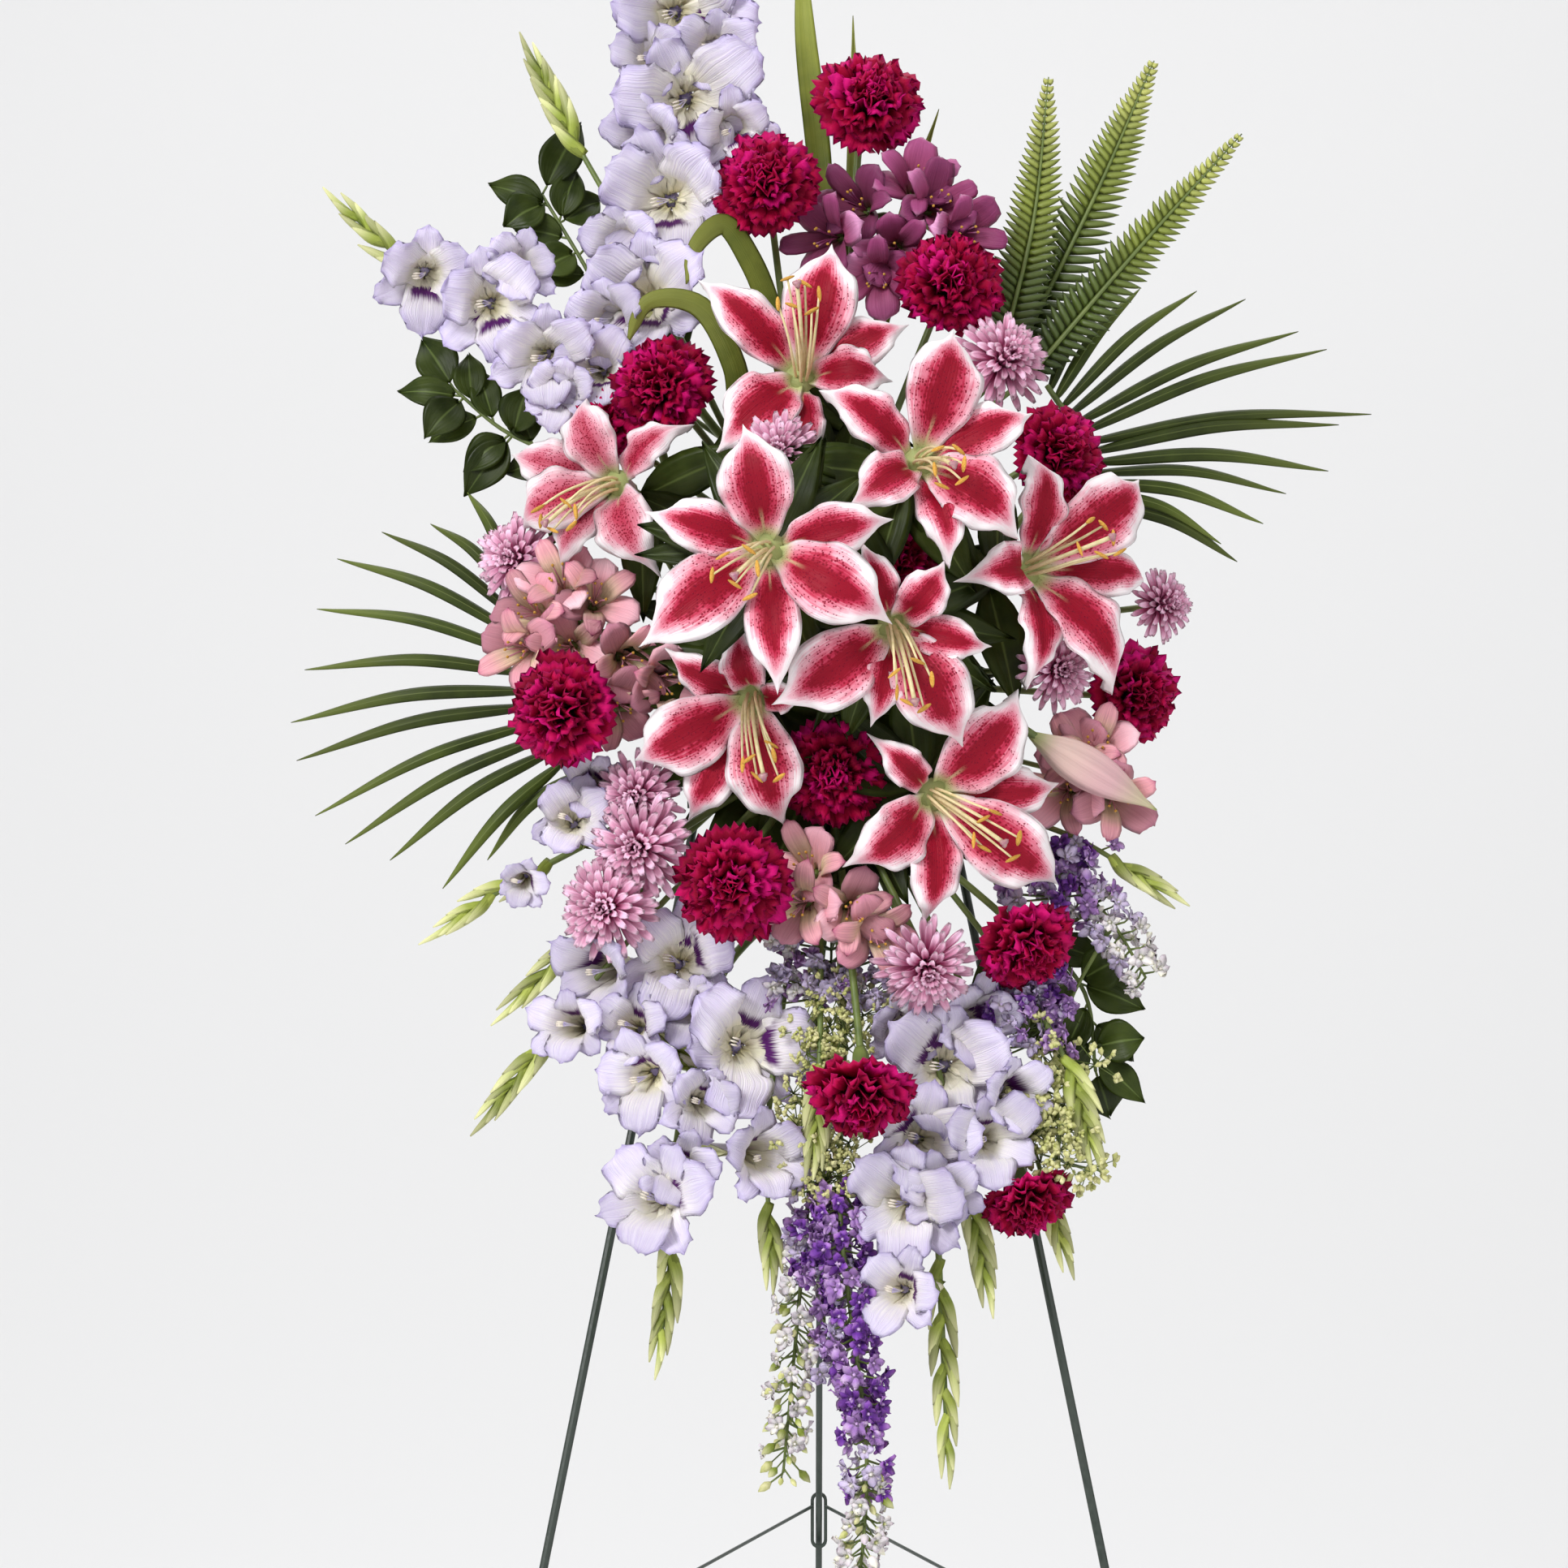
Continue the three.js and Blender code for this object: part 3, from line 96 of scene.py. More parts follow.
def place(seen, forward):
    return on_plane(seen, EASEL_TOP + FORWARD * forward, FORWARD)


def forward_of(point):
    return float(np.dot(point - EASEL_TOP, FORWARD))


def facing(yaw=0.0, pitch=0.0):
    a, b = math.radians(yaw), math.radians(pitch)
    return np.array([math.sin(a) * math.cos(b), -math.cos(a) * math.cos(b), math.sin(b)])


class Stand:
    """Where a bloom stands: its middle and its three axes. The third one, front, is the way it faces."""

    def __init__(self, centre, front, spin=0.0, size=1.0):
        self.centre = np.asarray(centre, float)
        self.front = unit(front)
        side = unit(np.cross([0, 0, 1], self.front))
        other = np.cross(self.front, side)
        c, s = math.cos(math.radians(spin)), math.sin(math.radians(spin))
        self.side = side * c + other * s
        self.other = other * c - side * s
        self.size = size

    def put(self, x, y, z):
        x, y, z = (np.asarray(k, float)[..., None] * self.size for k in (x, y, z))
        return self.centre + x * self.side + y * self.other + z * self.front

    def turn_of(self, point):
        local = np.asarray(point) - self.centre
        return math.atan2(np.dot(local, self.other), np.dot(local, self.side))


def stand_of(bloom):
    return Stand(
        place(bloom["at"], bloom["forward"]),
        facing(bloom.get("yaw", 0), bloom.get("pitch", 0)),
        bloom.get("spin", 0),
        bloom.get("size", 1),
    )


def curve(points, t):
    """Points of a smooth curve through the given ones, at t from 0 to 1 in equal shares for each span."""
    p = [np.asarray(k, float) for k in points]
    if len(p) == 2:
        t = np.asarray(t, float)[..., None]
        return p[0] * (1 - t) + p[1] * t
    p = [2 * p[0] - p[1], *p, 2 * p[-1] - p[-2]]
    t = np.clip(np.asarray(t, float), 0, 1) * (len(p) - 3)
    span = np.minimum(t.astype(int), len(p) - 4)
    w = (t - span)[..., None]
    all_points = np.array(p)
    a, b, c, d = (all_points[span + k] for k in range(4))
    gap = lambda m, n: np.maximum(np.linalg.norm(m - n, axis=-1, keepdims=True) ** 0.5, 1e-4)
    g0, g1, g2 = gap(a, b), gap(b, c), gap(c, d)
    start = ((b - a) / g0 - (c - a) / (g0 + g1) + (c - b) / g1) * g1
    end = ((c - b) / g1 - (d - b) / (g1 + g2) + (d - c) / g2) * g1
    return b + start * w + (3 * (c - b) - 2 * start - end) * w**2 + (2 * (b - c) + start + end) * w**3


def path_of(points, count):
    """A path of a number of points along the smooth curve."""
    return curve(points, np.linspace(0, 1, count))


def outward(points, t):
    """A place on the curve, and the way from there towards the curve's start."""
    at, ahead = curve(points, np.array([t, t + 0.02]))
    return at, unit(at - ahead)


# Meshes.
class Piece:
    """One piece of the spray, made of thin sheets and round rods, each with its own material."""

    def __init__(self, name, slot, *nodes, body="spray"):
        self.name, self.slot, self.nodes, self.body = name, slot, nodes, body
        self.points, self.faces, self.places, self.tones, self.kinds = [], [], [], [], []
        self.materials, self.count = [], 0

    def keep(self, points, faces, places, tone, material):
        if material not in self.materials:
            self.materials.append(material)
        self.points.append(points)
        self.places.append(places)
        self.tones.append(np.full(len(points), tone) if np.isscalar(tone) else np.asarray(tone, float))
        self.faces.extend((np.asarray(f) + self.count).tolist() for f in faces)
        self.kinds.extend([self.materials.index(material)] * sum(len(f) for f in faces))
        self.count += len(points)

    def sheet(self, shape, across, along, thick, material, tone=0.5):
        """A closed thin sheet over a grid. It is thickest in its middle, and its edges are sharp."""
        u, v = np.meshgrid(np.linspace(-1, 1, across + 1), np.linspace(0, 1, along + 1))
        middle = shape(u, v)
        du = np.gradient(middle, axis=1)
        dv = np.gradient(middle, axis=0)
        normal = np.cross(du, dv)
        normal /= np.maximum(np.linalg.norm(normal, axis=2, keepdims=True), 1e-9)
        lift = normal * thick / 2
        top = middle.copy()
        top[1:-1, 1:-1] += lift[1:-1, 1:-1]
        below = (middle - lift)[1:-1, 1:-1]
        upper = np.arange((along + 1) * (across + 1)).reshape(along + 1, across + 1)
        lower = upper.copy()
        inner = np.arange((along - 1) * (across - 1)).reshape(along - 1, across - 1)
        lower[1:-1, 1:-1] = upper.size + inner
        quads = lambda g: np.stack([g[:-1, :-1], g[:-1, 1:], g[1:, 1:], g[1:, :-1]], -1).reshape(-1, 4)
        uv = np.stack([u / 2 + 0.5, v], -1)
        self.keep(
            np.concatenate([top.reshape(-1, 3), below.reshape(-1, 3)]),
            [quads(upper), quads(lower)[:, ::-1]],
            np.concatenate([uv.reshape(-1, 2), uv[1:-1, 1:-1].reshape(-1, 2)]),
            tone,
            material,
        )

    def rod(self, path, radii, sides, material, tone=0.5, lobes=0, lobe=0.0):
        """A round rod along a path, closed at both ends. Lobes are soft ridges along it."""
        path = np.asarray(path, float)
        count = len(path)
        radii = np.interp(np.linspace(0, 1, count), np.linspace(0, 1, len(radii)), radii)
        along = np.gradient(path, axis=0)
        along /= np.maximum(np.linalg.norm(along, axis=1, keepdims=True), 1e-9)
        side = np.cross(along[0], [0.31, 0.17, 0.94])
        rings = []
        turns = np.arange(sides) * 2 * math.pi / sides
        swell = 1 + lobe * np.cos(turns * lobes) if lobes else np.ones(sides)
        for i in range(count):
            side = unit(side - along[i] * np.dot(side, along[i]))
            other = np.cross(along[i], side)
            reach = (radii[i] * swell)[:, None]
            rings.append(path[i] + reach * (np.cos(turns)[:, None] * side + np.sin(turns)[:, None] * other))
        grid = np.arange(count * sides).reshape(count, sides)
        nxt = np.roll(grid, -1, axis=1)
        quads = np.stack([grid[:-1], nxt[:-1], nxt[1:], grid[1:]], -1).reshape(-1, 4)
        uv = np.stack(np.meshgrid(np.arange(sides) / sides, np.linspace(0, 1, count)), -1).reshape(-1, 2)
        ends = [np.array([grid[0, ::-1]]), np.array([grid[-1]])]
        self.keep(np.concatenate(rings), [quads, *ends], uv, tone, material)

    def finish(self):
        mesh = bpy.data.meshes.new(self.name)
        points = (np.concatenate(self.points) / 1000).tolist()
        mesh.from_pydata(points, [], [face for group in self.faces for face in group])
        mesh.polygons.foreach_set("use_smooth", [True] * len(mesh.polygons))
        mesh.polygons.foreach_set("material_index", self.kinds)
        for material in self.materials:
            mesh.materials.append(material)
        vertex = np.zeros(len(mesh.loops), np.int32)
        mesh.loops.foreach_get("vertex_index", vertex)
        layer = mesh.uv_layers.new(name="petal")
        layer.data.foreach_set("uv", np.concatenate(self.places)[vertex].astype(np.float32).ravel())
        tone = mesh.attributes.new("tone", "FLOAT", "POINT")
        tone.data.foreach_set("value", np.concatenate(self.tones).astype(np.float32))
        mesh.update()
        piece = show(bpy.data.objects.new(self.name, mesh))
        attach(piece, self.body)
        if self.nodes:
            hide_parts(*self.nodes)
        return piece


# Finishes.
def set_value(node, name, value):
    if isinstance(value, tuple) and len(value) == 3 and node.inputs[name].type == "RGBA":
        value = (*value, 1)
    node.inputs[name].default_value = value


class Finish:
    """A material of one Principled shader, with short ways to add the nodes that feed it."""

    def __init__(self, name, roughness=0.6, **constants):
        self.material = bpy.data.materials.new(name)
        self.material.use_nodes = True
        self.tree = self.material.node_tree
        self.shader = self.tree.nodes["Principled BSDF"]
        set_value(self.shader, "Roughness", roughness)
        for key, value in constants.items():
            set_value(self.shader, key.replace("_", " "), value)

    def node(self, kind, inputs=None, **settings):
        node = self.tree.nodes.new(kind)
        for key, value in settings.items():
            setattr(node, key, value)
        for key, value in (inputs or {}).items():
            if isinstance(value, bpy.types.NodeSocket):
                self.tree.links.new(value, node.inputs[key])
            else:
                set_value(node, key, value)
        return node

    def feed(self, name, socket):
        self.tree.links.new(socket, self.shader.inputs[name])

    def calculate(self, operation, *values):
        return self.node("ShaderNodeMath", dict(enumerate(values)), operation=operation).outputs[0]

    def times(self, *values):
        return self.calculate("MULTIPLY", *values)

    def tone(self):
        return self.node("ShaderNodeAttribute", attribute_name="tone").outputs["Fac"]

    def petal(self):
        split = self.node(
            "ShaderNodeSeparateXYZ", {"Vector": self.node("ShaderNodeUVMap", uv_map="petal").outputs[0]},
        )
        return split.outputs["X"], split.outputs["Y"]

    def off_rib(self):
        """0 on the rib of a petal and 1 at its edges."""
        across, _ = self.petal()
        return self.calculate("ABSOLUTE", self.calculate("MULTIPLY_ADD", across, 2.0, -1.0))

    def ramp(self, value, stops, smooth=True):
        node = self.node("ShaderNodeValToRGB", {"Fac": value})
        node.color_ramp.interpolation = "EASE" if smooth else "LINEAR"
        while len(node.color_ramp.elements) < len(stops):
            node.color_ramp.elements.new(0.5)
        for element, (at, color) in zip(node.color_ramp.elements, stops):
            element.position = at
            element.color = (*color, 1) if len(color) == 3 else (color[0],) * 3 + (1,)
        return node.outputs["Color"]

    def range(self, value, low, high, to_low=0.0, to_high=1.0):
        names = {"Value": value, "From Min": low, "From Max": high, "To Min": to_low, "To Max": to_high}
        return self.node("ShaderNodeMapRange", names, interpolation_type="SMOOTHSTEP").outputs["Result"]

    def mix(self, share, a, b, blend="MIX"):
        node = self.node("ShaderNodeMix", data_type="RGBA", blend_type=blend)
        for socket, value in ((node.inputs[0], share), (node.inputs[6], a), (node.inputs[7], b)):
            if isinstance(value, bpy.types.NodeSocket):
                self.tree.links.new(value, socket)
            else:
                socket.default_value = (*value, 1) if isinstance(value, tuple) else value
        return node.outputs[2]

    def group(self, group, **inputs):
        node = self.tree.nodes.new("ShaderNodeGroup")
        node.node_tree = group
        for key, value in inputs.items():
            name = key.replace("_", " ")
            if isinstance(value, bpy.types.NodeSocket):
                self.tree.links.new(value, node.inputs[name])
            else:
                node.inputs[name].default_value = value
        return node.outputs

    def vein(self, count, stretch):
        return self.group(VEINS, Count=count, Stretch=stretch)["Vein"]

    def patch(self, scale, detail=3.0):
        return self.group(MOTTLE, Scale=scale, Detail=detail)["Patch"]

    def color_by_tone(self, color, darkest, lightest):
        """Feed the base colour, darker or lighter by the tone of each petal, leaf or rod."""
        shade = self.range(self.tone(), 0.0, 1.0, darkest, lightest)
        tinted = self.node("ShaderNodeHueSaturation", {"Color": color, "Value": shade})
        self.feed("Base Color", tinted.outputs[0])

    def bump(self, height, strength, distance):
        names = {"Height": height, "Strength": strength, "Distance": distance}
        self.feed("Normal", self.node("ShaderNodeBump", names).outputs[0])


def effect(name, inputs, outputs):
    """An empty node group with float inputs and outputs, and its two ends."""
    group = bpy.data.node_groups.new(name, "ShaderNodeTree")
    for key, value in inputs.items():
        group.interface.new_socket(key, in_out="INPUT", socket_type="NodeSocketFloat").default_value = value
    for key in outputs:
        group.interface.new_socket(key, in_out="OUTPUT", socket_type="NodeSocketFloat")
    return group, group.nodes.new("NodeGroupInput"), group.nodes.new("NodeGroupOutput")


def make_veins():
    """Fine veins along a petal or leaf, as wavering lines from its root to its tip."""
    group, start, end = effect("petal_veins", {"Count": 40.0, "Stretch": 2.0}, ["Vein"])
    link, new = group.links.new, group.nodes.new
    place_of = new("ShaderNodeUVMap")
    place_of.uv_map = "petal"
    split, join = new("ShaderNodeSeparateXYZ"), new("ShaderNodeCombineXYZ")
    tone = new("ShaderNodeAttribute")
    tone.attribute_name = "tone"
    wide, tall = new("ShaderNodeMath"), new("ShaderNodeMath")
    wide.operation = tall.operation = "MULTIPLY"
    shift = new("ShaderNodeMath")
    shift.operation = "MULTIPLY"
    shift.inputs[1].default_value = 37.0
    noise = new("ShaderNodeTexNoise")
    noise.inputs["Scale"].default_value = 1.0
    noise.inputs["Detail"].default_value = 2.0
    clear = new("ShaderNodeMapRange")
    clear.inputs["From Min"].default_value = 0.32
    clear.inputs["From Max"].default_value = 0.68
    link(place_of.outputs[0], split.inputs[0])
    link(split.outputs["X"], wide.inputs[0])
    link(start.outputs["Count"], wide.inputs[1])
    link(split.outputs["Y"], tall.inputs[0])
    link(start.outputs["Stretch"], tall.inputs[1])
    link(tone.outputs["Fac"], shift.inputs[0])
    link(wide.outputs[0], join.inputs[0])
    link(tall.outputs[0], join.inputs[1])
    link(shift.outputs[0], join.inputs[2])
    link(join.outputs[0], noise.inputs["Vector"])
    link(noise.outputs[0], clear.inputs["Value"])
    link(clear.outputs[0], end.inputs["Vein"])
    return group


def make_mottle():
    """Soft patches over the whole piece, at a scale in patches for each metre."""
    group, start, end = effect("mottle", {"Scale": 60.0, "Detail": 3.0}, ["Patch"])
    link, new = group.links.new, group.nodes.new
    spot, noise, clear = new("ShaderNodeTexCoord"), new("ShaderNodeTexNoise"), new("ShaderNodeMapRange")
    clear.inputs["From Min"].default_value = 0.3
    clear.inputs["From Max"].default_value = 0.7
    link(spot.outputs["Object"], noise.inputs["Vector"])
    link(start.outputs["Scale"], noise.inputs["Scale"])
    link(start.outputs["Detail"], noise.inputs["Detail"])
    link(noise.outputs[0], clear.inputs["Value"])
    link(clear.outputs[0], end.inputs["Patch"])
    return group


VEINS = make_veins()
MOTTLE = make_mottle()


def petal_finish(
    name, stops, roughness=0.6, veins=40.0, vein_share=0.25, other=None, spread=0.28, soft=0.12, **constants
):
    """Petal skin: colours from root to tip, another one on the outer part of some petals, and veins."""
    constants = {"Specular_IOR_Level": 0.2, **constants}
    finish = Finish(name, roughness, Subsurface_Weight=soft, Subsurface_Scale=0.004, **constants)
    set_value(finish.shader, "Subsurface Radius", (1.0, 0.5, 0.5))
    _, along = finish.petal()
    color = finish.ramp(along, stops)
    if other:
        share = finish.times(finish.range(finish.tone(), 0.55, 0.95), finish.range(along, 0.35, 0.9))
        color = finish.mix(share, color, other)
    vein = finish.vein(veins, 1.6)
    darker = finish.mix(1.0, color, (0.72, 0.66, 0.72), "MULTIPLY")
    color = finish.mix(finish.times(vein, vein_share), color, darker)
    finish.color_by_tone(color, 1 - spread, 1 + spread * 0.6)
    finish.bump(vein, 0.35, 0.0006)
    return finish.material


def leaf_finish(name, dark, light, roughness=0.42, veins=26.0, tip=None, spread=0.3, rib=None, **constants):
    """Leaf skin: veins along the blade, a paler rib, and lighter, yellower tips where one is given."""
    finish = Finish(name, roughness, **constants)
    _, along = finish.petal()
    patch = finish.patch(45.0)
    color = finish.mix(patch, dark, light)
    if tip:
        color = finish.mix(finish.range(along, 0.35, 1.0), color, tip)
    vein = finish.vein(veins, 1.2)
    darker = finish.mix(1.0, color, (0.6, 0.68, 0.5), "MULTIPLY")
    color = finish.mix(finish.times(vein, 0.35), color, darker)
    if rib:
        color = finish.mix(finish.range(finish.off_rib(), 0.0, 0.1, 0.8, 0.0), color, rib)
    finish.color_by_tone(color, 1 - spread, 1 + spread)
    finish.feed("Roughness", finish.range(patch, 0.0, 1.0, roughness - 0.07, roughness + 0.1))
    finish.bump(vein, 0.3, 0.0008)
    return finish.material


def fern_finish():
    """Dark green at a frond's foot and yellow-green at its tip: the tone is the height on the frond."""
    finish = Finish("fern_leaf_skin", 0.5)
    patch = finish.patch(45.0)
    color = finish.ramp(
        finish.tone(),
        [
            (0.0, (0.028, 0.052, 0.007)), (0.3, (0.08, 0.12, 0.016)), (0.6, (0.24, 0.29, 0.04)),
            (1.0, (0.58, 0.6, 0.16)),
        ],
    )
    finish.feed("Base Color", finish.mix(finish.times(patch, 0.4), color, (0.045, 0.07, 0.01)))
    finish.feed("Roughness", finish.range(patch, 0.0, 1.0, 0.42, 0.6))
    finish.bump(finish.vein(8.0, 1.2), 0.3, 0.0006)
    return finish.material


def lily_tepal_finish():
    """Crimson down the middle of each tepal, a white wavy margin, dark freckles and a pale green root."""
    finish = Finish(
        "lily_tepal", 0.5, Subsurface_Weight=0.08, Subsurface_Scale=0.003, Specular_IOR_Level=0.16,
    )
    set_value(finish.shader, "Subsurface Radius", (1.0, 0.5, 0.5))
    across, along = finish.petal()
    rib = finish.off_rib()
    vein = finish.vein(46.0, 1.4)
    patch = finish.patch(90.0)
    wavy = finish.calculate(
        "ADD", finish.calculate("MULTIPLY_ADD", vein, 0.17, rib), finish.times(patch, 0.2),
    )
    wavy = finish.times(wavy, finish.range(along, 0.3, 0.97, 0.82, 1.5))
    body = finish.range(wavy, 0.18, 1.26, 1.0, 0.0)
    reach = finish.times(
        finish.range(along, 0.6, 0.96, 1.0, 0.0), finish.range(along, 0.04, 0.32, 0.4, 1.0),
    )
    blush = finish.times(finish.times(body, reach), finish.range(finish.tone(), 0.0, 0.4, 0.66, 1.05))
    turned = {"X": finish.times(across, 25.0), "Y": finish.times(along, 46.0)}
    spot = finish.node("ShaderNodeCombineXYZ", {**turned, "Z": finish.times(finish.tone(), 19.0)})
    cells = finish.node(
        "ShaderNodeTexVoronoi", {"Vector": spot.outputs[0], "Scale": 1.0, "Randomness": 0.95},
    )
    gap = finish.calculate(
        "SUBTRACT", cells.outputs["Distance"], finish.calculate("MULTIPLY_ADD", blush, 0.66, -0.08),
    )
    stipple = finish.range(gap, -0.05, 0.13, 1.0, 0.0)
    white = (0.96, 0.88, 0.9)
    rose, crimson = (0.5, 0.028, 0.075), (0.27, 0.002, 0.017)
    pale = [
        (0.0, white), (0.08, (0.94, 0.78, 0.82)), (0.26, (0.86, 0.47, 0.55)), (0.5, (0.7, 0.19, 0.27)),
        (0.74, rose), (0.94, crimson),
    ]
    deep = [(0.0, (0.8, 0.5, 0.6)), (0.1, (0.6, 0.12, 0.22)), (0.32, (0.4, 0.012, 0.05)), (0.8, crimson)]
    color = finish.mix(finish.times(stipple, 0.85), finish.ramp(blush, pale), finish.ramp(blush, deep))
    stripe = finish.times(finish.range(rib, 0.03, 0.12, 0.6, 0.0), finish.range(along, 0.14, 0.3, 1.0, 0.0))
    color = finish.mix(stripe, color, (0.66, 0.6, 0.34))
    color = finish.mix(finish.range(along, 0.05, 0.17, 1.0, 0.0), color, (0.5, 0.56, 0.24))
    where = finish.times(finish.range(blush, 0.1, 0.3), finish.range(along, 0.5, 0.8, 1.0, 0.0))
    freckles = finish.times(finish.range(cells.outputs["Distance"], 0.16, 0.3, 1.0, 0.0), where)
    color = finish.mix(finish.times(freckles, 0.75), color, (0.17, 0.001, 0.02))
    finish.color_by_tone(color, 0.86, 1.06)
    finish.bump(finish.calculate("ADD", finish.times(vein, 0.5), freckles), 0.5, 0.0008)
    return finish.material


def easel_finish():
    finish = Finish("easel_enamel", 0.4, Coat_Weight=0.15)
    patch = finish.patch(220.0, 6.0)
    wear = finish.patch(18.0)
    color = finish.mix(patch, (0.012, 0.022, 0.016), (0.028, 0.042, 0.032))
    finish.feed("Base Color", finish.mix(finish.times(wear, 0.3), color, (0.05, 0.062, 0.05)))
    finish.feed("Roughness", finish.range(patch, 0.0, 1.0, 0.34, 0.52))
    finish.bump(patch, 0.25, 0.0004)
    return finish.material


def foam_finish():
    finish = Finish("floral_foam", 0.95)
    place_of = finish.node("ShaderNodeTexCoord").outputs["Object"]
    cells = finish.node("ShaderNodeTexVoronoi", {"Vector": place_of, "Scale": 900.0}).outputs["Distance"]
    patch = finish.patch(40.0)
    color = finish.mix(patch, (0.035, 0.11, 0.035), (0.06, 0.16, 0.055))
    finish.feed(
        "Base Color", finish.mix(finish.range(cells, 0.0, 0.5, 0.7, 0.0), color, (0.015, 0.05, 0.015)),
    )
    finish.bump(cells, 0.8, 0.001)
    return finish.material


def tray_finish():
    finish = Finish("holder_plastic", 0.45)
    patch = finish.patch(300.0, 5.0)
    scuff = finish.patch(25.0)
    color = finish.mix(scuff, (0.015, 0.09, 0.03), (0.025, 0.12, 0.045))
    finish.feed("Base Color", color)
    finish.feed("Roughness", finish.range(patch, 0.0, 1.0, 0.38, 0.55))
    finish.bump(patch, 0.2, 0.0003)
    return finish.material


def gladiolus_finish(name, marked):
    """Pale violet with a cream throat. A marked petal has a dark violet spot at the throat."""
    finish = Finish(name, 0.55, Subsurface_Weight=0.12, Subsurface_Scale=0.004, Specular_IOR_Level=0.2)
    set_value(finish.shader, "Subsurface Radius", (0.9, 0.6, 1.0))
    _, along = finish.petal()
    rib = finish.off_rib()
    patch = finish.patch(50.0)
    color = finish.ramp(
        along,
        [
            (0.0, (0.8, 0.72, 0.36)), (0.22, (0.97, 0.91, 0.66)), (0.42, (0.95, 0.9, 0.87)),
            (0.68, (0.76, 0.69, 0.88)), (1.0, (0.54, 0.45, 0.8)),
        ],
    )
    color = finish.mix(finish.times(patch, 0.4), color, (0.87, 0.83, 0.92))
    margin = finish.times(finish.range(rib, 0.6, 1.0), finish.range(along, 0.4, 0.7))
    color = finish.mix(finish.times(margin, 0.5), color, (0.4, 0.31, 0.7))
    vein = finish.vein(52.0, 1.8)
    streaks = finish.times(vein, finish.range(along, 0.24, 0.5, 0.05, 0.36))
    color = finish.mix(streaks, color, (0.46, 0.37, 0.7))
    if marked:
        uneven = finish.calculate(
            "MULTIPLY_ADD", vein, 0.07, finish.calculate("MULTIPLY_ADD", rib, -0.07, along),
        )
        spot = finish.times(finish.range(uneven, 0.25, 0.31), finish.range(uneven, 0.38, 0.48, 1.0, 0.0))
        spot = finish.times(
            spot, finish.range(finish.calculate("MULTIPLY_ADD", patch, 0.5, rib), 0.8, 1.15, 1.0, 0.0),
        )
        color = finish.mix(spot, color, (0.085, 0.008, 0.12))
    finish.color_by_tone(color, 0.8, 1.06)
    finish.bump(vein, 0.5, 0.001)
    return finish.material


def plain_finish(name, dark, light, scale, roughness, bump=0.2, **constants):
    finish = Finish(name, roughness, **constants)
    patch = finish.patch(scale, 4.0)
    color = finish.mix(patch, dark, light)
    finish.color_by_tone(color, 0.85, 1.12)
    finish.bump(patch, bump, 0.0005)
    return finish.material


EASEL = easel_finish()
FOAM = foam_finish()
TRAY = tray_finish()
LILY = lily_tepal_finish()
LILY_BUD = petal_finish(
    "lily_bud_skin",
    [
        (0.0, (0.4, 0.46, 0.18)), (0.2, (0.72, 0.52, 0.46)), (0.6, (0.74, 0.46, 0.48)),
        (0.92, (0.66, 0.58, 0.38)), (1.0, (0.45, 0.5, 0.2)),
    ],
    roughness=0.5, veins=60.0,
)
FILAMENT = plain_finish("lily_filament", (0.66, 0.56, 0.26), (0.8, 0.68, 0.42), scale=300.0, roughness=0.5)
ANTHER = plain_finish(
    "lily_anther", (0.56, 0.26, 0.03), (0.72, 0.42, 0.08), scale=900.0, roughness=0.9, bump=0.6,
)
STIGMA = plain_finish("lily_stigma", (0.35, 0.12, 0.2), (0.5, 0.3, 0.26), scale=500.0, roughness=0.35)
CARNATION = petal_finish(
    "carnation_petal",
    [
        (0.0, (0.07, 0.0, 0.008)), (0.5, (0.22, 0.0, 0.018)), (0.8, (0.36, 0.0, 0.035)),
        (0.97, (0.5, 0.003, 0.075)), (1.0, (0.58, 0.012, 0.13)),
    ],
    roughness=0.62, veins=40.0, vein_share=0.4, other=(0.48, 0.004, 0.13), spread=0.4, soft=0.06,
    Specular_IOR_Level=0.1,
)
CHRYSANTHEMUM = petal_finish(
    "chrysanthemum_petal",
    [
        (0.0, (0.42, 0.03, 0.16)), (0.3, (0.66, 0.17, 0.36)), (0.7, (0.8, 0.38, 0.55)),
        (1.0, (0.93, 0.64, 0.77)),
    ],
    roughness=0.55, veins=9.0, vein_share=0.4, other=(0.86, 0.56, 0.72), spread=0.28,
)
ALSTROEMERIA = petal_finish(
    "alstroemeria_petal",
    [
        (0.0, (0.58, 0.48, 0.26)), (0.2, (0.84, 0.52, 0.48)), (0.6, (0.8, 0.36, 0.43)),
        (0.92, (0.76, 0.3, 0.42)), (1.0, (0.5, 0.42, 0.26)),
    ],
    roughness=0.5, veins=30.0, vein_share=0.5, other=(0.9, 0.62, 0.66), spread=0.4,
)
ALSTROEMERIA_STREAKED = petal_finish(
    "alstroemeria_streaked_petal",
    [
        (0.0, (0.54, 0.5, 0.2)), (0.3, (0.86, 0.72, 0.46)), (0.65, (0.8, 0.38, 0.42)),
        (1.0, (0.56, 0.15, 0.26)),
    ],
    roughness=0.5, veins=16.0, vein_share=0.85,
)
ALSTROEMERIA_DUSK = petal_finish(
    "alstroemeria_dusk_petal",
    [
        (0.0, (0.42, 0.26, 0.18)), (0.3, (0.4, 0.09, 0.2)), (0.75, (0.36, 0.065, 0.2)),
        (1.0, (0.56, 0.24, 0.4)),
    ],
    roughness=0.5, veins=24.0, vein_share=0.6, other=(0.64, 0.3, 0.5), spread=0.5,
)
GLADIOLUS = gladiolus_finish("gladiolus_petal", False)
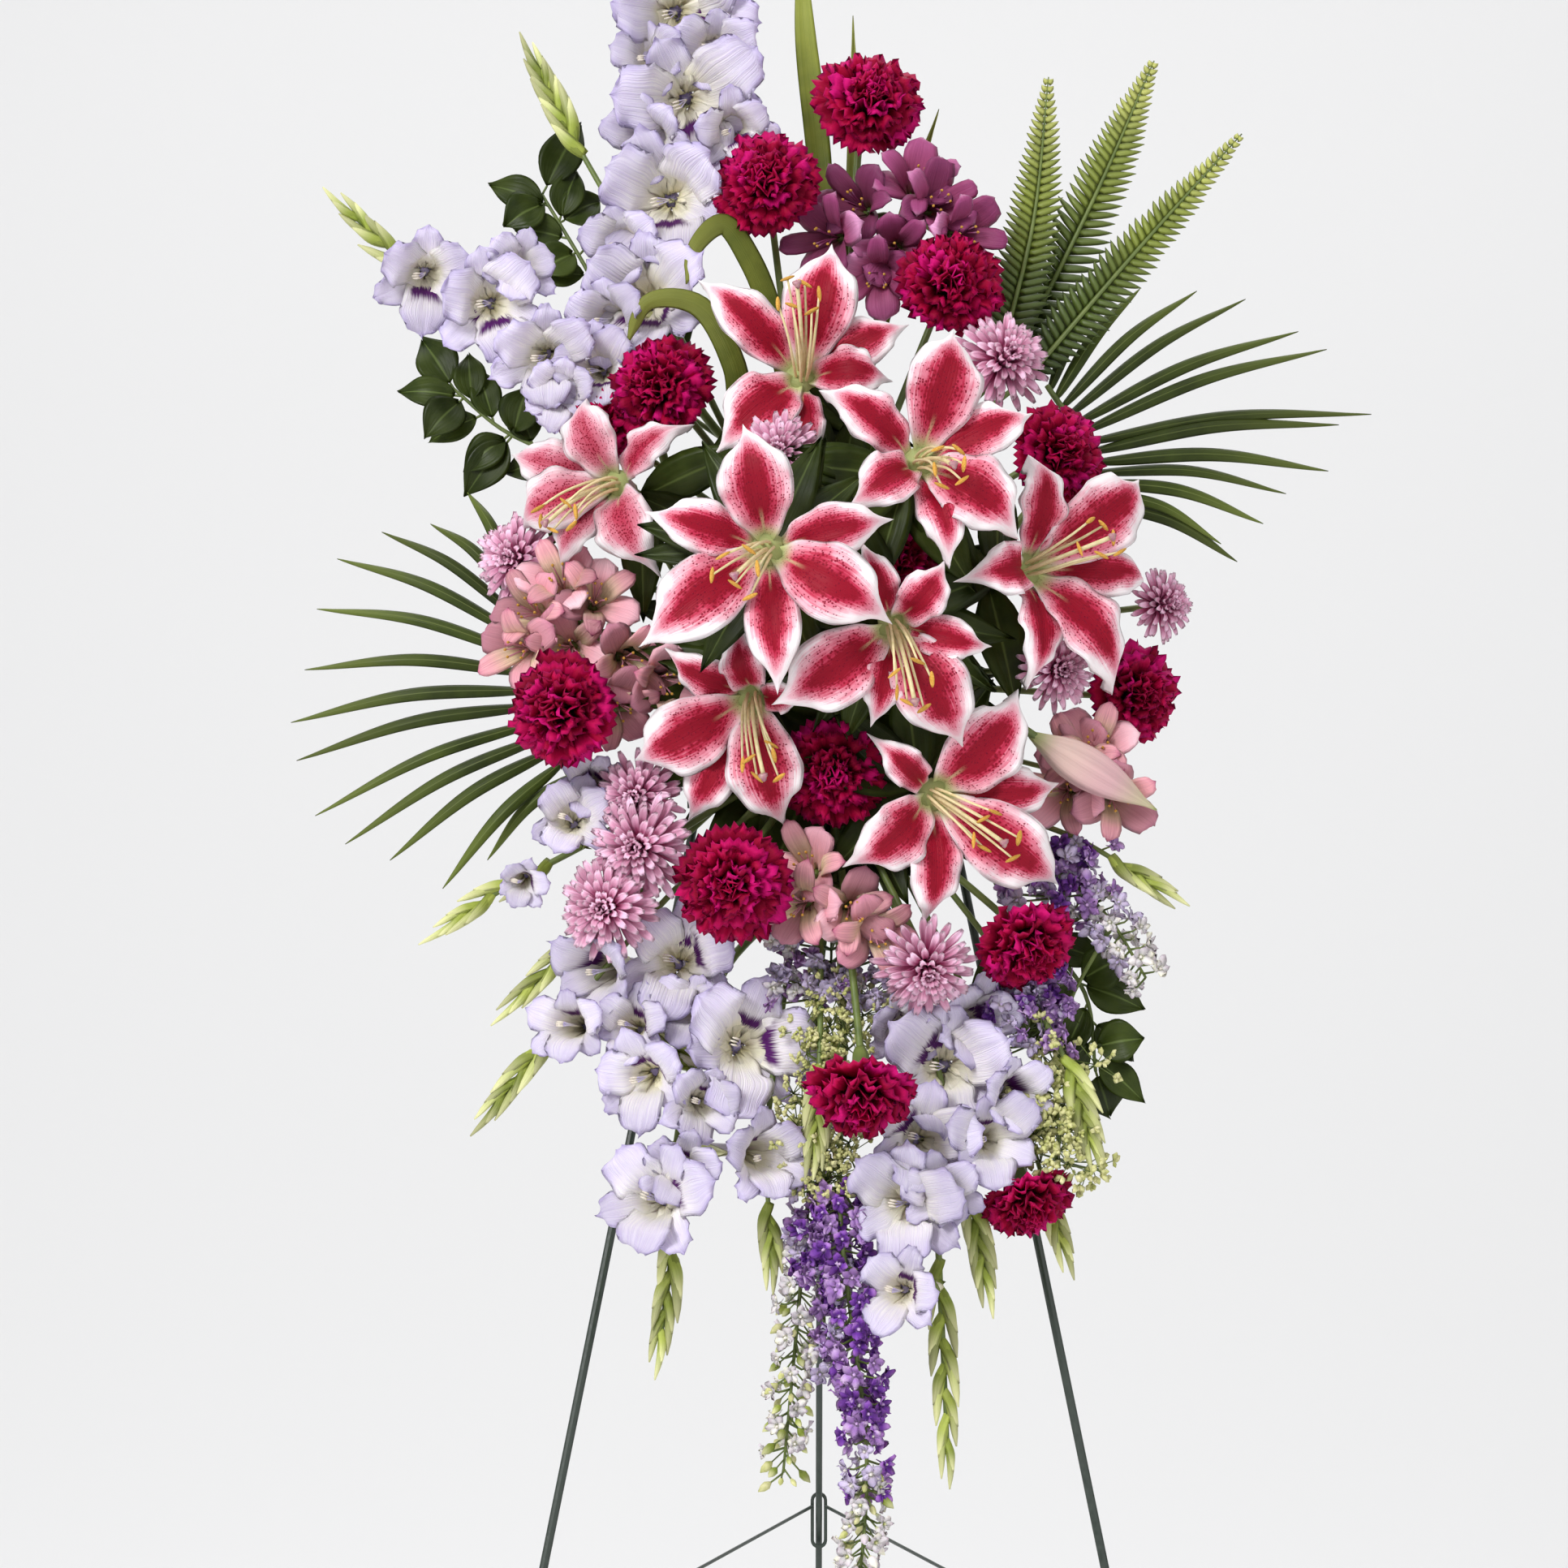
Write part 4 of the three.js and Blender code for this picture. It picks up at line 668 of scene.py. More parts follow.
PURPLE = petal_finish(
    "larkspur_purple_petal",
    [(0.0, (0.36, 0.2, 0.46)), (0.4, (0.16, 0.035, 0.36)), (1.0, (0.3, 0.1, 0.52))], roughness=0.6,
    veins=14.0, vein_share=0.3, other=(0.42, 0.2, 0.56), spread=0.45,
)
LILAC = petal_finish(
    "larkspur_lilac_petal",
    [(0.0, (0.56, 0.42, 0.56)), (0.4, (0.42, 0.22, 0.58)), (1.0, (0.52, 0.3, 0.66))], roughness=0.6,
    veins=14.0, vein_share=0.3, other=(0.66, 0.48, 0.72), spread=0.35,
)
FILLER = plain_finish(
    "filler_floret", (0.42, 0.45, 0.12), (0.78, 0.74, 0.42), scale=160.0, roughness=0.6,
    Specular_IOR_Level=0.2,
)
LAVENDER = petal_finish(
    "larkspur_lavender_petal",
    [(0.0, (0.7, 0.68, 0.5)), (0.4, (0.68, 0.58, 0.78)), (1.0, (0.6, 0.5, 0.76))], roughness=0.6,
    veins=14.0, vein_share=0.2, spread=0.25,
)
PALE = petal_finish(
    "larkspur_pale_petal", [(0.0, (0.64, 0.68, 0.34)), (0.4, (0.84, 0.79, 0.8)), (1.0, (0.8, 0.7, 0.78))],
    roughness=0.6, veins=14.0, vein_share=0.15, other=(0.84, 0.82, 0.66), spread=0.2,
)
STEM = plain_finish("stem_skin", (0.075, 0.115, 0.022), (0.17, 0.22, 0.05), scale=70.0, roughness=0.5)
BUD = leaf_finish(
    "spike_bud_skin", (0.2, 0.26, 0.03), (0.38, 0.43, 0.09), roughness=0.5, veins=18.0,
    tip=(0.64, 0.63, 0.34), Specular_IOR_Level=0.25,
)
PALM = leaf_finish(
    "palm_leaf_skin", (0.024, 0.036, 0.005), (0.05, 0.072, 0.01), roughness=0.45, veins=14.0,
    tip=(0.12, 0.15, 0.03), rib=(0.12, 0.15, 0.04), Specular_IOR_Level=0.18,
)
FERN = fern_finish()
SWORD = leaf_finish(
    "sword_leaf_skin", (0.08, 0.11, 0.012), (0.19, 0.215, 0.03), roughness=0.42, veins=34.0,
    tip=(0.31, 0.33, 0.07), Specular_IOR_Level=0.16,
)
GLADIOLUS_MARKED = gladiolus_finish("gladiolus_marked_petal", True)
GLADIOLUS_ANTHER = plain_finish(
    "gladiolus_anther", (0.66, 0.58, 0.5), (0.82, 0.76, 0.64), scale=500.0, roughness=0.8,
)
SALAL = leaf_finish(
    "salal_leaf_skin", (0.017, 0.027, 0.004), (0.042, 0.06, 0.008), roughness=0.4, veins=10.0,
    rib=(0.1, 0.14, 0.035), Specular_IOR_Level=0.18,
)


# Where the flowers stand, as pixels of the picture, with millimetres forward of the front legs.
LILIES = {
    "lily_1": dict(
        lean=(-6, 48), at=(991, 456), forward=168, yaw=4, pitch=11,
        tips=[(860, 345), (1025, 300), (1120, 400), (1100, 470), (985, 590), (880, 560)],
    ),
    "lily_2": dict(
        lean=(-26, -34), at=(745, 590), forward=150, yaw=-22, pitch=8,
        tips=[(630, 560), (722, 490), (850, 520), (640, 650), (690, 705), (810, 710)],
    ),
    "lily_3": dict(
        lean=(-20, -22), at=(946, 672), forward=275, yaw=0, pitch=4,
        tips=[(915, 522), (794, 630), (1101, 640), (787, 797), (1100, 768), (958, 856)],
    ),
    "lily_4": dict(
        lean=(10, -16), at=(1140, 560), forward=246, yaw=12, pitch=14,
        tips=[(1175, 405), (1272, 510), (1255, 665), (1040, 630), (1010, 480), (1170, 700)],
    ),
    "lily_5": dict(
        lean=(34, 12), at=(1285, 695), forward=180, yaw=34, pitch=10,
        tips=[(1405, 590), (1270, 560), (1180, 715), (1375, 855), (1265, 850), (1415, 715)],
    ),
    "lily_6": dict(
        lean=(8, -44), at=(1105, 772), forward=232, yaw=6, pitch=-6,
        tips=[(951, 869), (1060, 665), (1166, 690), (1223, 797), (1187, 922), (1073, 897)],
    ),
    "lily_7": dict(
        lean=(12, -42), at=(923, 864), forward=178, yaw=-8, pitch=-12,
        tips=[(780, 938), (912, 765), (818, 800), (967, 1020), (846, 1015), (1000, 850)],
    ),
    "lily_8": dict(
        lean=(34, -24), at=(1158, 983), forward=176, yaw=14, pitch=-8,
        tips=[(1258, 851), (1308, 966), (1307, 1092), (1141, 1141), (1041, 1070), (1071, 905)],
    ),
}
CARNATIONS = {
    "carnation_1": [dict(at=(1072, 125), forward=95, yaw=10, pitch=25)],
    "carnation_2": [dict(at=(943, 225), forward=121, yaw=-5, pitch=20, size=0.95)],
    "carnation_3": [dict(at=(1172, 350), forward=125, yaw=12, pitch=18, size=0.98)],
    "carnation_4": [dict(at=(1305, 560), forward=125, yaw=28, pitch=8, size=0.88)],
    "carnation_5": [dict(at=(690, 875), forward=150, yaw=-24, pitch=0)],
    "carnation_6": [dict(at=(1400, 856), forward=90, yaw=34, pitch=0, size=0.86)],
    "carnation_7": [dict(at=(1026, 951), forward=138, yaw=0, pitch=-8, size=0.98)],
    "carnation_8": [dict(at=(902, 1090), forward=165, yaw=-6, pitch=-16)],
    "carnation_9": [dict(at=(1266, 1165), forward=125, yaw=30, pitch=-32, size=0.9)],
    "carnation_10": [dict(at=(1062, 1350), forward=142, yaw=2, pitch=-52, size=0.96)],
    "carnation_11": [dict(at=(1265, 1480), forward=82, yaw=20, pitch=-50, size=0.8)],
    "carnation_12": [dict(at=(1104, 690), forward=168, yaw=4, pitch=6, size=0.9)],
    "carnation_pair": [
        dict(at=(812, 478), forward=125, yaw=-20, pitch=14, size=0.95),
        dict(at=(738, 528), forward=100, yaw=-26, pitch=10, size=0.72),
    ],
}
CHRYSANTHEMUMS = {
    "chrysanthemum_1": [dict(at=(1235, 445), forward=130, yaw=20, pitch=14)],
    "chrysanthemum_2": [dict(at=(960, 560), forward=190, yaw=-2, pitch=6, size=0.85)],
    "chrysanthemum_3": [dict(at=(640, 690), forward=93, yaw=-28, pitch=4, size=0.95)],
    "chrysanthemum_4": [dict(at=(1300, 825), forward=125, yaw=24, pitch=0, size=0.8)],
    "chrysanthemum_5": [dict(at=(1430, 745), forward=84, yaw=38, pitch=4, size=0.75)],
    "chrysanthemum_6": [dict(at=(1141, 1190), forward=138, yaw=6, pitch=-22)],
    "chrysanthemum_cluster": [
        dict(at=(790, 1044), forward=132, yaw=-16, pitch=-2, size=1.05),
        dict(at=(750, 1118), forward=124, yaw=-16, pitch=-2),
        dict(at=(788, 982), forward=122, yaw=-16, pitch=-2, size=0.9),
    ],
}
ALSTROEMERIA_HEADS = {
    "alstroemeria_top": dict(
        at=(1110, 275), forward=100,
        seen=[(1055, 250), (1155, 250), (1105, 310), (1018, 292), (1082, 342), (1188, 288), (1130, 222)],
    ),
    "alstroemeria_left": dict(
        at=(715, 775), forward=118,
        seen=[
            (655, 752), (735, 735), (702, 800), (775, 815), (640, 800), (690, 712), (762, 872), (820, 840),
        ],
    ),
    "alstroemeria_lower": dict(
        at=(1028, 1095), forward=132, seen=[(994, 1066), (1051, 1122), (1080, 1150), (985, 1115)],
    ),
    "alstroemeria_right": dict(
        at=(1345, 960), forward=105, seen=[(1325, 930), (1375, 985), (1310, 975), (1352, 915)],
    ),
}
# Each open floret of a gladiolus has its place and its size.
GLADIOLUS_SPIKES = {
    "gladiolus_top": dict(
        root=(-40, 96), stalk=[(842, -170), (838, 0), (822, 250), (850, 480)], forward=[46, 54, 62, 64],
        florets=[
            (848, -105, 0.85), (838, 15, 0.98), (850, 125, 0.96), (822, 245, 0.96), (792, 368, 0.9),
            (800, 170, 0.55), (905, 160, 0.55), (880, 60, 0.6), (800, 70, 0.55), (765, 300, 0.6),
            (745, 395, 0.6),
        ],
        buds=2,
    ),
    "gladiolus_left": dict(
        root=(-34, 78), stalk=[(440, 270), (510, 330), (640, 400), (780, 480)], forward=[66, 68, 70, 62],
        florets=[
            (526, 340, 0.66), (606, 372, 0.78), (672, 442, 0.68), (640, 330, 0.5), (735, 455, 0.6),
            (690, 480, 0.5),
        ],
        buds=4,
    ),
    "gladiolus_lower_left": dict(
        root=(-34, -40), stalk=[(575, 1125), (620, 1095), (740, 1030), (820, 980)],
        forward=[84, 80, 72, 60], florets=[(642, 1088, 0.34), (704, 1008, 0.56), (730, 965, 0.42)], buds=3,
    ),
    "gladiolus_hanging": dict(
        root=(-22, -96), stalk=[(815, 1640), (828, 1540), (835, 1400), (890, 1200)],
        forward=[66, 68, 68, 54],
        florets=[
            (806, 1478, 0.74), (792, 1330, 0.62), (922, 1288, 0.92), (836, 1182, 0.76), (736, 1198, 0.62),
            (700, 1262, 0.5), (868, 1360, 0.55), (945, 1425, 0.6), (776, 1262, 0.5), (838, 1440, 0.5),
            (850, 1240, 0.5),
        ],
        buds=4,
    ),
    "gladiolus_right_hanging": dict(
        root=(30, -96), stalk=[(1167, 1775), (1160, 1620), (1150, 1450), (1120, 1230)],
        forward=[58, 62, 64, 54],
        florets=[
            (1106, 1592, 0.56), (1114, 1486, 0.76), (1222, 1402, 0.62), (1168, 1316, 0.9),
            (1138, 1402, 0.72), (1200, 1262, 0.62), (1112, 1270, 0.5), (1160, 1470, 0.5), (1250, 1350, 0.5),
        ],
        buds=6,
    ),
}
BUD_STALKS = [
    dict(stalk=[(668, 95), (715, 185), (780, 300), (930, 600)], forward=[62, 70, 78, 86], buds=5),
    dict(stalk=[(620, 1350), (690, 1260), (800, 1130), (960, 960)], forward=[72, 80, 88, 86], buds=3),
    dict(stalk=[(655, 1215), (760, 1110), (960, 920)], forward=[80, 86, 86], buds=2),
    dict(stalk=[(1212, 1565), (1190, 1450), (1130, 1230), (1040, 990)], forward=[66, 78, 90, 88], buds=4),
    dict(stalk=[(1305, 1520), (1250, 1350), (1060, 970)], forward=[58, 72, 86], buds=2),
    dict(stalk=[(950, 1535), (945, 1400), (1000, 1000)], forward=[76, 86, 88], buds=2),
    dict(stalk=[(1412, 1085), (1330, 1035), (1060, 930)], forward=[84, 88, 86], buds=2),
    dict(stalk=[(1340, 1395), (1300, 1280), (1060, 950)], forward=[92, 96, 86], buds=5),
    dict(stalk=[(1005, 1395), (1010, 1300), (1010, 990)], forward=[108, 104, 88], buds=4),
]
LILY_BUD_ENDS = [((1270, 905), 150), ((1425, 998), 118)]
LARKSPUR_SPIKES = {
    "larkspur_purple": dict(
        root=(8, -96), stalk=[(1058, 1965), (1068, 1800), (1035, 1490), (1040, 1280)],
        forward=[88, 90, 92, 60],
    ),
    "larkspur_lavender": dict(
        root=(-6, -96), stalk=[(965, 1815), (985, 1600), (1000, 1420), (1005, 1250)],
        forward=[70, 74, 72, 50],
    ),
    "larkspur_right": dict(
        root=(34, -20), stalk=[(1412, 1205), (1365, 1130), (1300, 1070), (1220, 1020)],
        forward=[88, 88, 84, 50],
    ),
}
PALMS = {
    "palm_left": dict(
        rachis=[(632, 705), (655, 850), (705, 965)], root=(-34, 4),
        tips=[
            (575, 605), (530, 645), (470, 655), (415, 688), (390, 750), (375, 825), (358, 890), (365, 937),
            (388, 1005), (425, 1040), (480, 1060), (545, 1095), (600, 1060),
        ],
    ),
    "palm_right": dict(
        rachis=[(1290, 475), (1335, 545), (1362, 625)], root=(34, 60),
        tips=[
            (1350, 365), (1405, 355), (1475, 358), (1535, 368), (1600, 408), (1635, 430), (1690, 510),
            (1650, 523), (1637, 580), (1585, 608), (1557, 645), (1505, 670), (1525, 692),
        ],
    ),
}
FERNS = [
    dict(points=[(1226, 462), (1272, 280), (1292, 95)], forward=62, wide=24),
    dict(points=[(1246, 450), (1350, 240), (1422, 75)], forward=50, wide=26),
    dict(points=[(1266, 466), (1400, 310), (1530, 165)], forward=76, wide=21),
]
SWORD_LEAVES = [
    dict(seen=[(1012, 240), (992, 40), (985, -95)], forward=[46, 40, 34], wide=9),
    dict(seen=[(1045, 330), (1052, 150), (1051, 20)], forward=[40, 36, 32], wide=5),
    dict(seen=[(1085, 400), (1120, 250), (1157, 135)], forward=[38, 40, 42], wide=6),
]
ARCHED_LEAVES = [
    dict(
        seen=[(985, 560), (955, 400), (925, 320), (892, 276), (860, 300), (846, 350)],
        forward=[90, 106, 116, 124, 130, 132],
    ),
    dict(
        seen=[(960, 600), (915, 520), (905, 450), (860, 376), (800, 372), (772, 425)],
        forward=[90, 116, 130, 134, 132, 120],
    ),
]
SALALS = {
    "salal_upper": dict(
        root=(-20, 92), twig=[(668, 240), (722, 330), (800, 470), (930, 640)], forward=[44, 44, 38, 34],
        leaves=[(690, 200), (650, 262), (712, 262), (690, 322), (762, 350), (820, 430)],
    ),
    "salal_left": dict(
        root=(-34, 52), twig=[(560, 480), (620, 530), (760, 600), (920, 720)], forward=[50, 48, 46, 40],
        leaves=[(542, 452), (550, 512), (605, 570), (640, 510), (700, 620)],
    ),
    "salal_right": dict(
        root=(34, -60), twig=[(1350, 1320), (1335, 1220), (1240, 1110), (1090, 1000)],
        forward=[62, 60, 56, 44],
        leaves=[(1358, 1345), (1375, 1285), (1300, 1270), (1355, 1195), (1240, 1190)],
    ),
}

# The holder's own axes are across, up along the legs' plane, and forward of it.
FOAM_HEIGHT = 1162
FOAM_MIDDLE = EASEL_TOP + UP * (FOAM_HEIGHT - EASEL_HEIGHT) / math.cos(LEAN)
FOAM_BACK = 12.45
FOAM_FRONT = 74.45
STALK_LEVEL = FOAM_BACK + 22


def holder(u, w, f):
    return FOAM_MIDDLE + RIGHT * u + UP * w + FORWARD * f


def stem_root(point):
    height = np.dot(point - FOAM_MIDDLE, UP)
    aside = math.copysign(5, point[0] - EASEL_TOP[0])
    return holder(aside, np.clip(height * 0.42, -68, 68), FOAM_FRONT + 6)


def lead_in(root):
    """A stalk's way out of the foam: its end in the brick, and a point outside it."""
    u, w = root
    out = (0, math.copysign(44, w)) if abs(w) > 80 else (math.copysign(44, u), 0)
    return holder(u, w, STALK_LEVEL), holder(u + out[0], w + out[1], STALK_LEVEL)


def line_of(stalk, forward):
    return [place(seen, f) for seen, f in zip(stalk, forward)]


# Petals and leaves.
def blade(piece, points, face, half, rise, across, along, thick, material, tone=0.5, reach=None):
    """A petal or leaf on a curve, from half its width, its rise off the curve, and how far each strip
    reaches along it."""

    def shape(u, v):
        step = np.gradient(curve(points, v[:, 0]), axis=0)
        step /= np.maximum(np.linalg.norm(step, axis=1, keepdims=True), 1e-9)
        side = np.cross(step, face)
        side /= np.maximum(np.linalg.norm(side, axis=1, keepdims=True), 1e-9)
        normal = np.cross(side, step)
        t = v * (reach(u, v) if reach else 1)
        aside = side[:, None] * (u * half(v))[..., None]
        lift = normal[:, None] * rise(u, v)[..., None]
        return curve(points, t) + aside + lift

    piece.sheet(shape, across, along, thick, material, tone)


def lily_piece(name, bloom):
    chance = random.Random(name)
    piece = Piece(name + "_bloom", "lily_petal", name)
    axis = facing(bloom["yaw"], bloom["pitch"])
    centre = place(bloom["at"], bloom["forward"])
    stand = Stand(centre, axis)
    droop, usual_length = 14, 85
    tips = [on_plane(seen, centre - axis * droop, axis) for seen in bloom["tips"]]
    tips.sort(key=stand.turn_of)
    for k, tip in enumerate(tips):
        inner = k % 2 == 0
        out = tip - centre + axis * droop
        length = np.linalg.norm(out)
        way = out / length
        lift = 5 if inner else 0
        spot = lambda r, z: centre + way * r + axis * z
        points = [spot(6, -22), spot(length * 0.27, -7 + lift), spot(length * 0.52, 3 + lift)]
        points += [spot(length * 0.78, 2 + lift / 2), tip - axis * chance.uniform(0, 8)]
        peak = chance.uniform(0.94, 1.06)
        width = (26 if inner else 19) * np.clip(length / usual_length, 0.6, 1)
        phase, twist = chance.uniform(0, 6.28), chance.uniform(-5, 5)

        def half(v):
            claw = 2.6
            swell = np.sin(math.pi * v**peak).clip(0) ** (1.05 + 0.35 * v)
            return np.maximum(claw * (1 - v**3) + (width - claw) * swell, 0.3)

        def rise(u, v):
            bend = (5 * (1 - v) if inner else 1) - 9 * v**1.6
            groove = -1.9 * np.exp(-((u / 0.12) ** 2)) * np.sin(math.pi * v)
            wave = np.sin(7.5 * math.pi * v + phase + 1.9 * np.sign(u))
            ruffle = 3.4 * abs(u) ** 2.4 * wave * np.sin(math.pi * v) ** 0.7
            return bend * u**2 + groove + ruffle + twist * u * v

        tone = chance.uniform(0, 0.14) if name == "lily_2" else chance.uniform(0.3, 1)
        blade(piece, points, axis, half, rise, 12, 32, 1.1, LILY, tone)

    def put(r, turn, z):
        return centre + r * (math.cos(turn) * stand.side + math.sin(turn) * stand.other) + axis * z

    throat = [put(0, 0, z) for z in (-44, -38, -30, -22, -16)]
    piece.rod(throat, [5.6, 6.2, 7.4, 9, 10.5], 18, LILY_BUD, 0.4, 6, 0.08)
    lean = stand.side * bloom["lean"][0] + stand.other * bloom["lean"][1]
    for k in range(6):
        turn = (k + 0.3 * chance.random()) * math.pi / 3
        far, high = chance.uniform(9, 17), chance.uniform(19, 27)
        hang = lean * chance.uniform(0.8, 1.1)
        path = [put(4, turn, -20), put(6, turn, -4) + hang * 0.12]
        path += [put(far * 0.7, turn, high * 0.7) + hang * 0.55, put(far, turn, high) + hang]
        path = path_of(path, 12)
        piece.rod(path, [1.2, 1.0, 0.75], 6, FILAMENT, chance.random())
        lie = unit(math.cos(turn + 1.4) * stand.side + math.sin(turn + 1.4) * stand.other + 0.25 * axis)
        ends = [path[-1] + lie * s for s in np.linspace(-5.4, 5.4, 8)]
        piece.rod(ends, [0.5, 1.2, 1.5, 1.6, 1.5, 1.2, 0.5], 8, ANTHER, chance.random(), 2, 0.25)
    style = ((-20, 0), (-2, 0.15), (20, 0.6), (30, 1.05))
    path = path_of([put(0, 0, z) + lean * share for z, share in style], 12)
    piece.rod(path, [1.7, 1.4, 1.5], 8, FILAMENT, 0.4)
    stigma = [path[-1] + axis * s for s in (0, 1.5, 3.2)]
    piece.rod(stigma, [1.4, 3.0, 2.2], 12, STIGMA, 0.5, 3, 0.25)
    return piece.finish()


def carnation_petal(piece, stand, turn, far, high, wide, chance):
    """One fan of a carnation, crumpled and toothed along its outer edge."""
    along = lambda r, z: stand.put(r * math.cos(turn), r * math.sin(turn), z)
    points = [along(1.5, -19), along(3 + far * 0.25, -6 + high * 0.3)]
    points += [along(far * 0.72, high * 0.8 + 2), along(far, high)]
    face = unit(stand.front - 0.5 * (math.cos(turn) * stand.side + math.sin(turn) * stand.other))
    phase, folds = chance.uniform(0, 6.28), chance.choice([1.7, 2.3, 2.9])
    deep = (chance.uniform(2.2, 4) if high < 0 else chance.uniform(3.6, 6.2)) * stand.size
    lean = chance.uniform(-5, 5) * stand.size
    strips = 14
    short_tooth, long_tooth = (0.84, 0.9), (0.94, 1.0)
    teeth = [chance.uniform(*(long_tooth if k % 2 else short_tooth)) for k in range(strips + 1)]
    teeth = np.array(teeth)

    def half(v):
        return wide * stand.size * (0.1 + 0.9 * v**0.85)

    def crumple(u, v):
        waves = np.sin(folds * u * math.pi + phase) + 0.45 * np.sin(6.1 * u + 6 * v)
        return deep * v**1.5 * waves + lean * u * v

    def reach(u, v):
        tooth = teeth[np.rint((u + 1) * strips / 2).astype(int)]
        return 1 - (0.2 * u**2 + 1 - tooth) * v**2

    blade(
        piece, points, face, half, crumple, strips, 5, 0.9 * stand.size, CARNATION, chance.random(), reach,
    )


# A row of petals has their count, reach, height and half width.
CARNATION_ROWS = [
    (8, 44, -5, 22), (8, 38, 3, 20), (7, 31, 10, 18), (7, 22, 16, 16), (6, 13, 20, 14), (4, 5, 22, 11),
]
CHRYSANTHEMUM_ROWS = [
    (19, 37, -3, 3.5), (19, 34, 3, 3.4), (18, 28, 9, 3.3), (16, 21, 14, 3.0),
    (12, 13, 18, 2.7), (9, 7, 20, 2.4), (5, 2.5, 19, 2.2),
]


def carnation_piece(name, blooms):
    chance = random.Random(name)
    piece = Piece(name + "_bloom", "carnation_petal", name)
    for bloom in blooms:
        stand = stand_of({**bloom, "spin": chance.uniform(0, 60)})
        for row, (count, far, high, wide) in enumerate(CARNATION_ROWS):
            for k in range(count):
                turn = (k + 0.5 * (row % 2) + chance.uniform(-0.2, 0.2)) * 2 * math.pi / count
                reach = far * chance.uniform(0.84, 1.02)
                carnation_petal(piece, stand, turn, reach, high + chance.uniform(-4, 4), wide, chance)
    return piece.finish()


def chrysanthemum_piece(name, blooms):
    chance = random.Random(name)
    piece = Piece(name + "_bloom", "chrysanthemum_petal", name)
    for bloom in blooms:
        stand = stand_of({**bloom, "spin": chance.uniform(0, 60)})
        size = stand.size
        for row, (count, far, high, wide) in enumerate(CHRYSANTHEMUM_ROWS):
            for k in range(count):
                turn = (k + 0.5 * (row % 2) + chance.uniform(-0.25, 0.25)) * 2 * math.pi / count
                reach, lift = far * chance.uniform(0.82, 1.03), high + chance.uniform(-2.5, 2.5)
                along = lambda r, z: stand.put(r * math.cos(turn), r * math.sin(turn), z)
                points = [along(2, -8), along(2 + reach * 0.35, -2 + lift * 0.65)]
                points += [along(reach * 0.8, lift + 0.5), along(reach, lift)]
                spoon = lambda v: 0.35 + 0.75 * v - 0.95 * np.clip(v - 0.72, 0, 1) ** 1.1 * 3.2
                half = lambda v: wide * size * np.maximum(spoon(v), 0.12)
                fold = lambda u, v: 1.5 * size * u**2
                blade(
                    piece, points, stand.front, half, fold, 4, 6, 0.7 * size, CHRYSANTHEMUM,
                    chance.random(),
                )
        base = [stand.put(0, 0, z) for z in (-14, -10, -5, 2)]
        piece.rod(base, [3.5 * size, 7 * size, 6 * size, 3], 10, STEM)
    return piece.finish()


def trumpet(piece, stand, petals, flare, depth, tube, chance, skins, grid, ruffle, marked=(0, 2, 4)):
    """Petals round a funnel that opens at the stand's middle, plain ones and marked ones.
    A petal has its turn, reach, half width and lift."""
    for k, (turn, reach, wide, lift) in enumerate(petals):
        a = math.radians(turn)
        spot = lambda r, z: stand.put(r * math.cos(a), r * math.sin(a), z)
        points = [spot(tube, -depth), spot(tube * 1.8 + 2, -depth * 0.5), spot(reach * 0.5, -2 + lift)]
        points += [spot(reach * 0.86, flare + lift), spot(reach, flare * 0.5 + lift)]
        phase, size = chance.uniform(0, 6.28), stand.size
        peak, lean = chance.uniform(1.05, 1.25), chance.uniform(-0.22, 0.22)

        def half(v):
            swell = np.sin(math.pi * np.clip(v, 0, 1) ** peak).clip(0) ** 1.2
            nick = 1 - 0.02 * ruffle * v * np.sin(23 * v + phase)
            foot = tube * 0.55
            return size * np.maximum(foot * (1 - v**3) + (wide - foot) * swell * nick, 0.35)

        def rise(u, v):
            fold = -0.06 * wide * np.exp(-((u / 0.12) ** 2))
            crimp = 0.6 * abs(u) ** 3 * np.sin(37 * v - phase + u)
            crease = np.sin(6.5 * math.pi * v + phase + 2.1 * np.sign(u))
            wave = ruffle * abs(u) ** 1.8 * v * (crease + crimp)
            cup = 0.3 * wide * u**2 * (1 - v) - 0.3 * wide * u**2 * v**2
            return size * (cup + fold + wave + lean * wide * u * v)

        skin = skins[1] if k in marked else skins[0]
        blade(piece, points, stand.front, half, rise, *grid, 0.9, skin, chance.random())


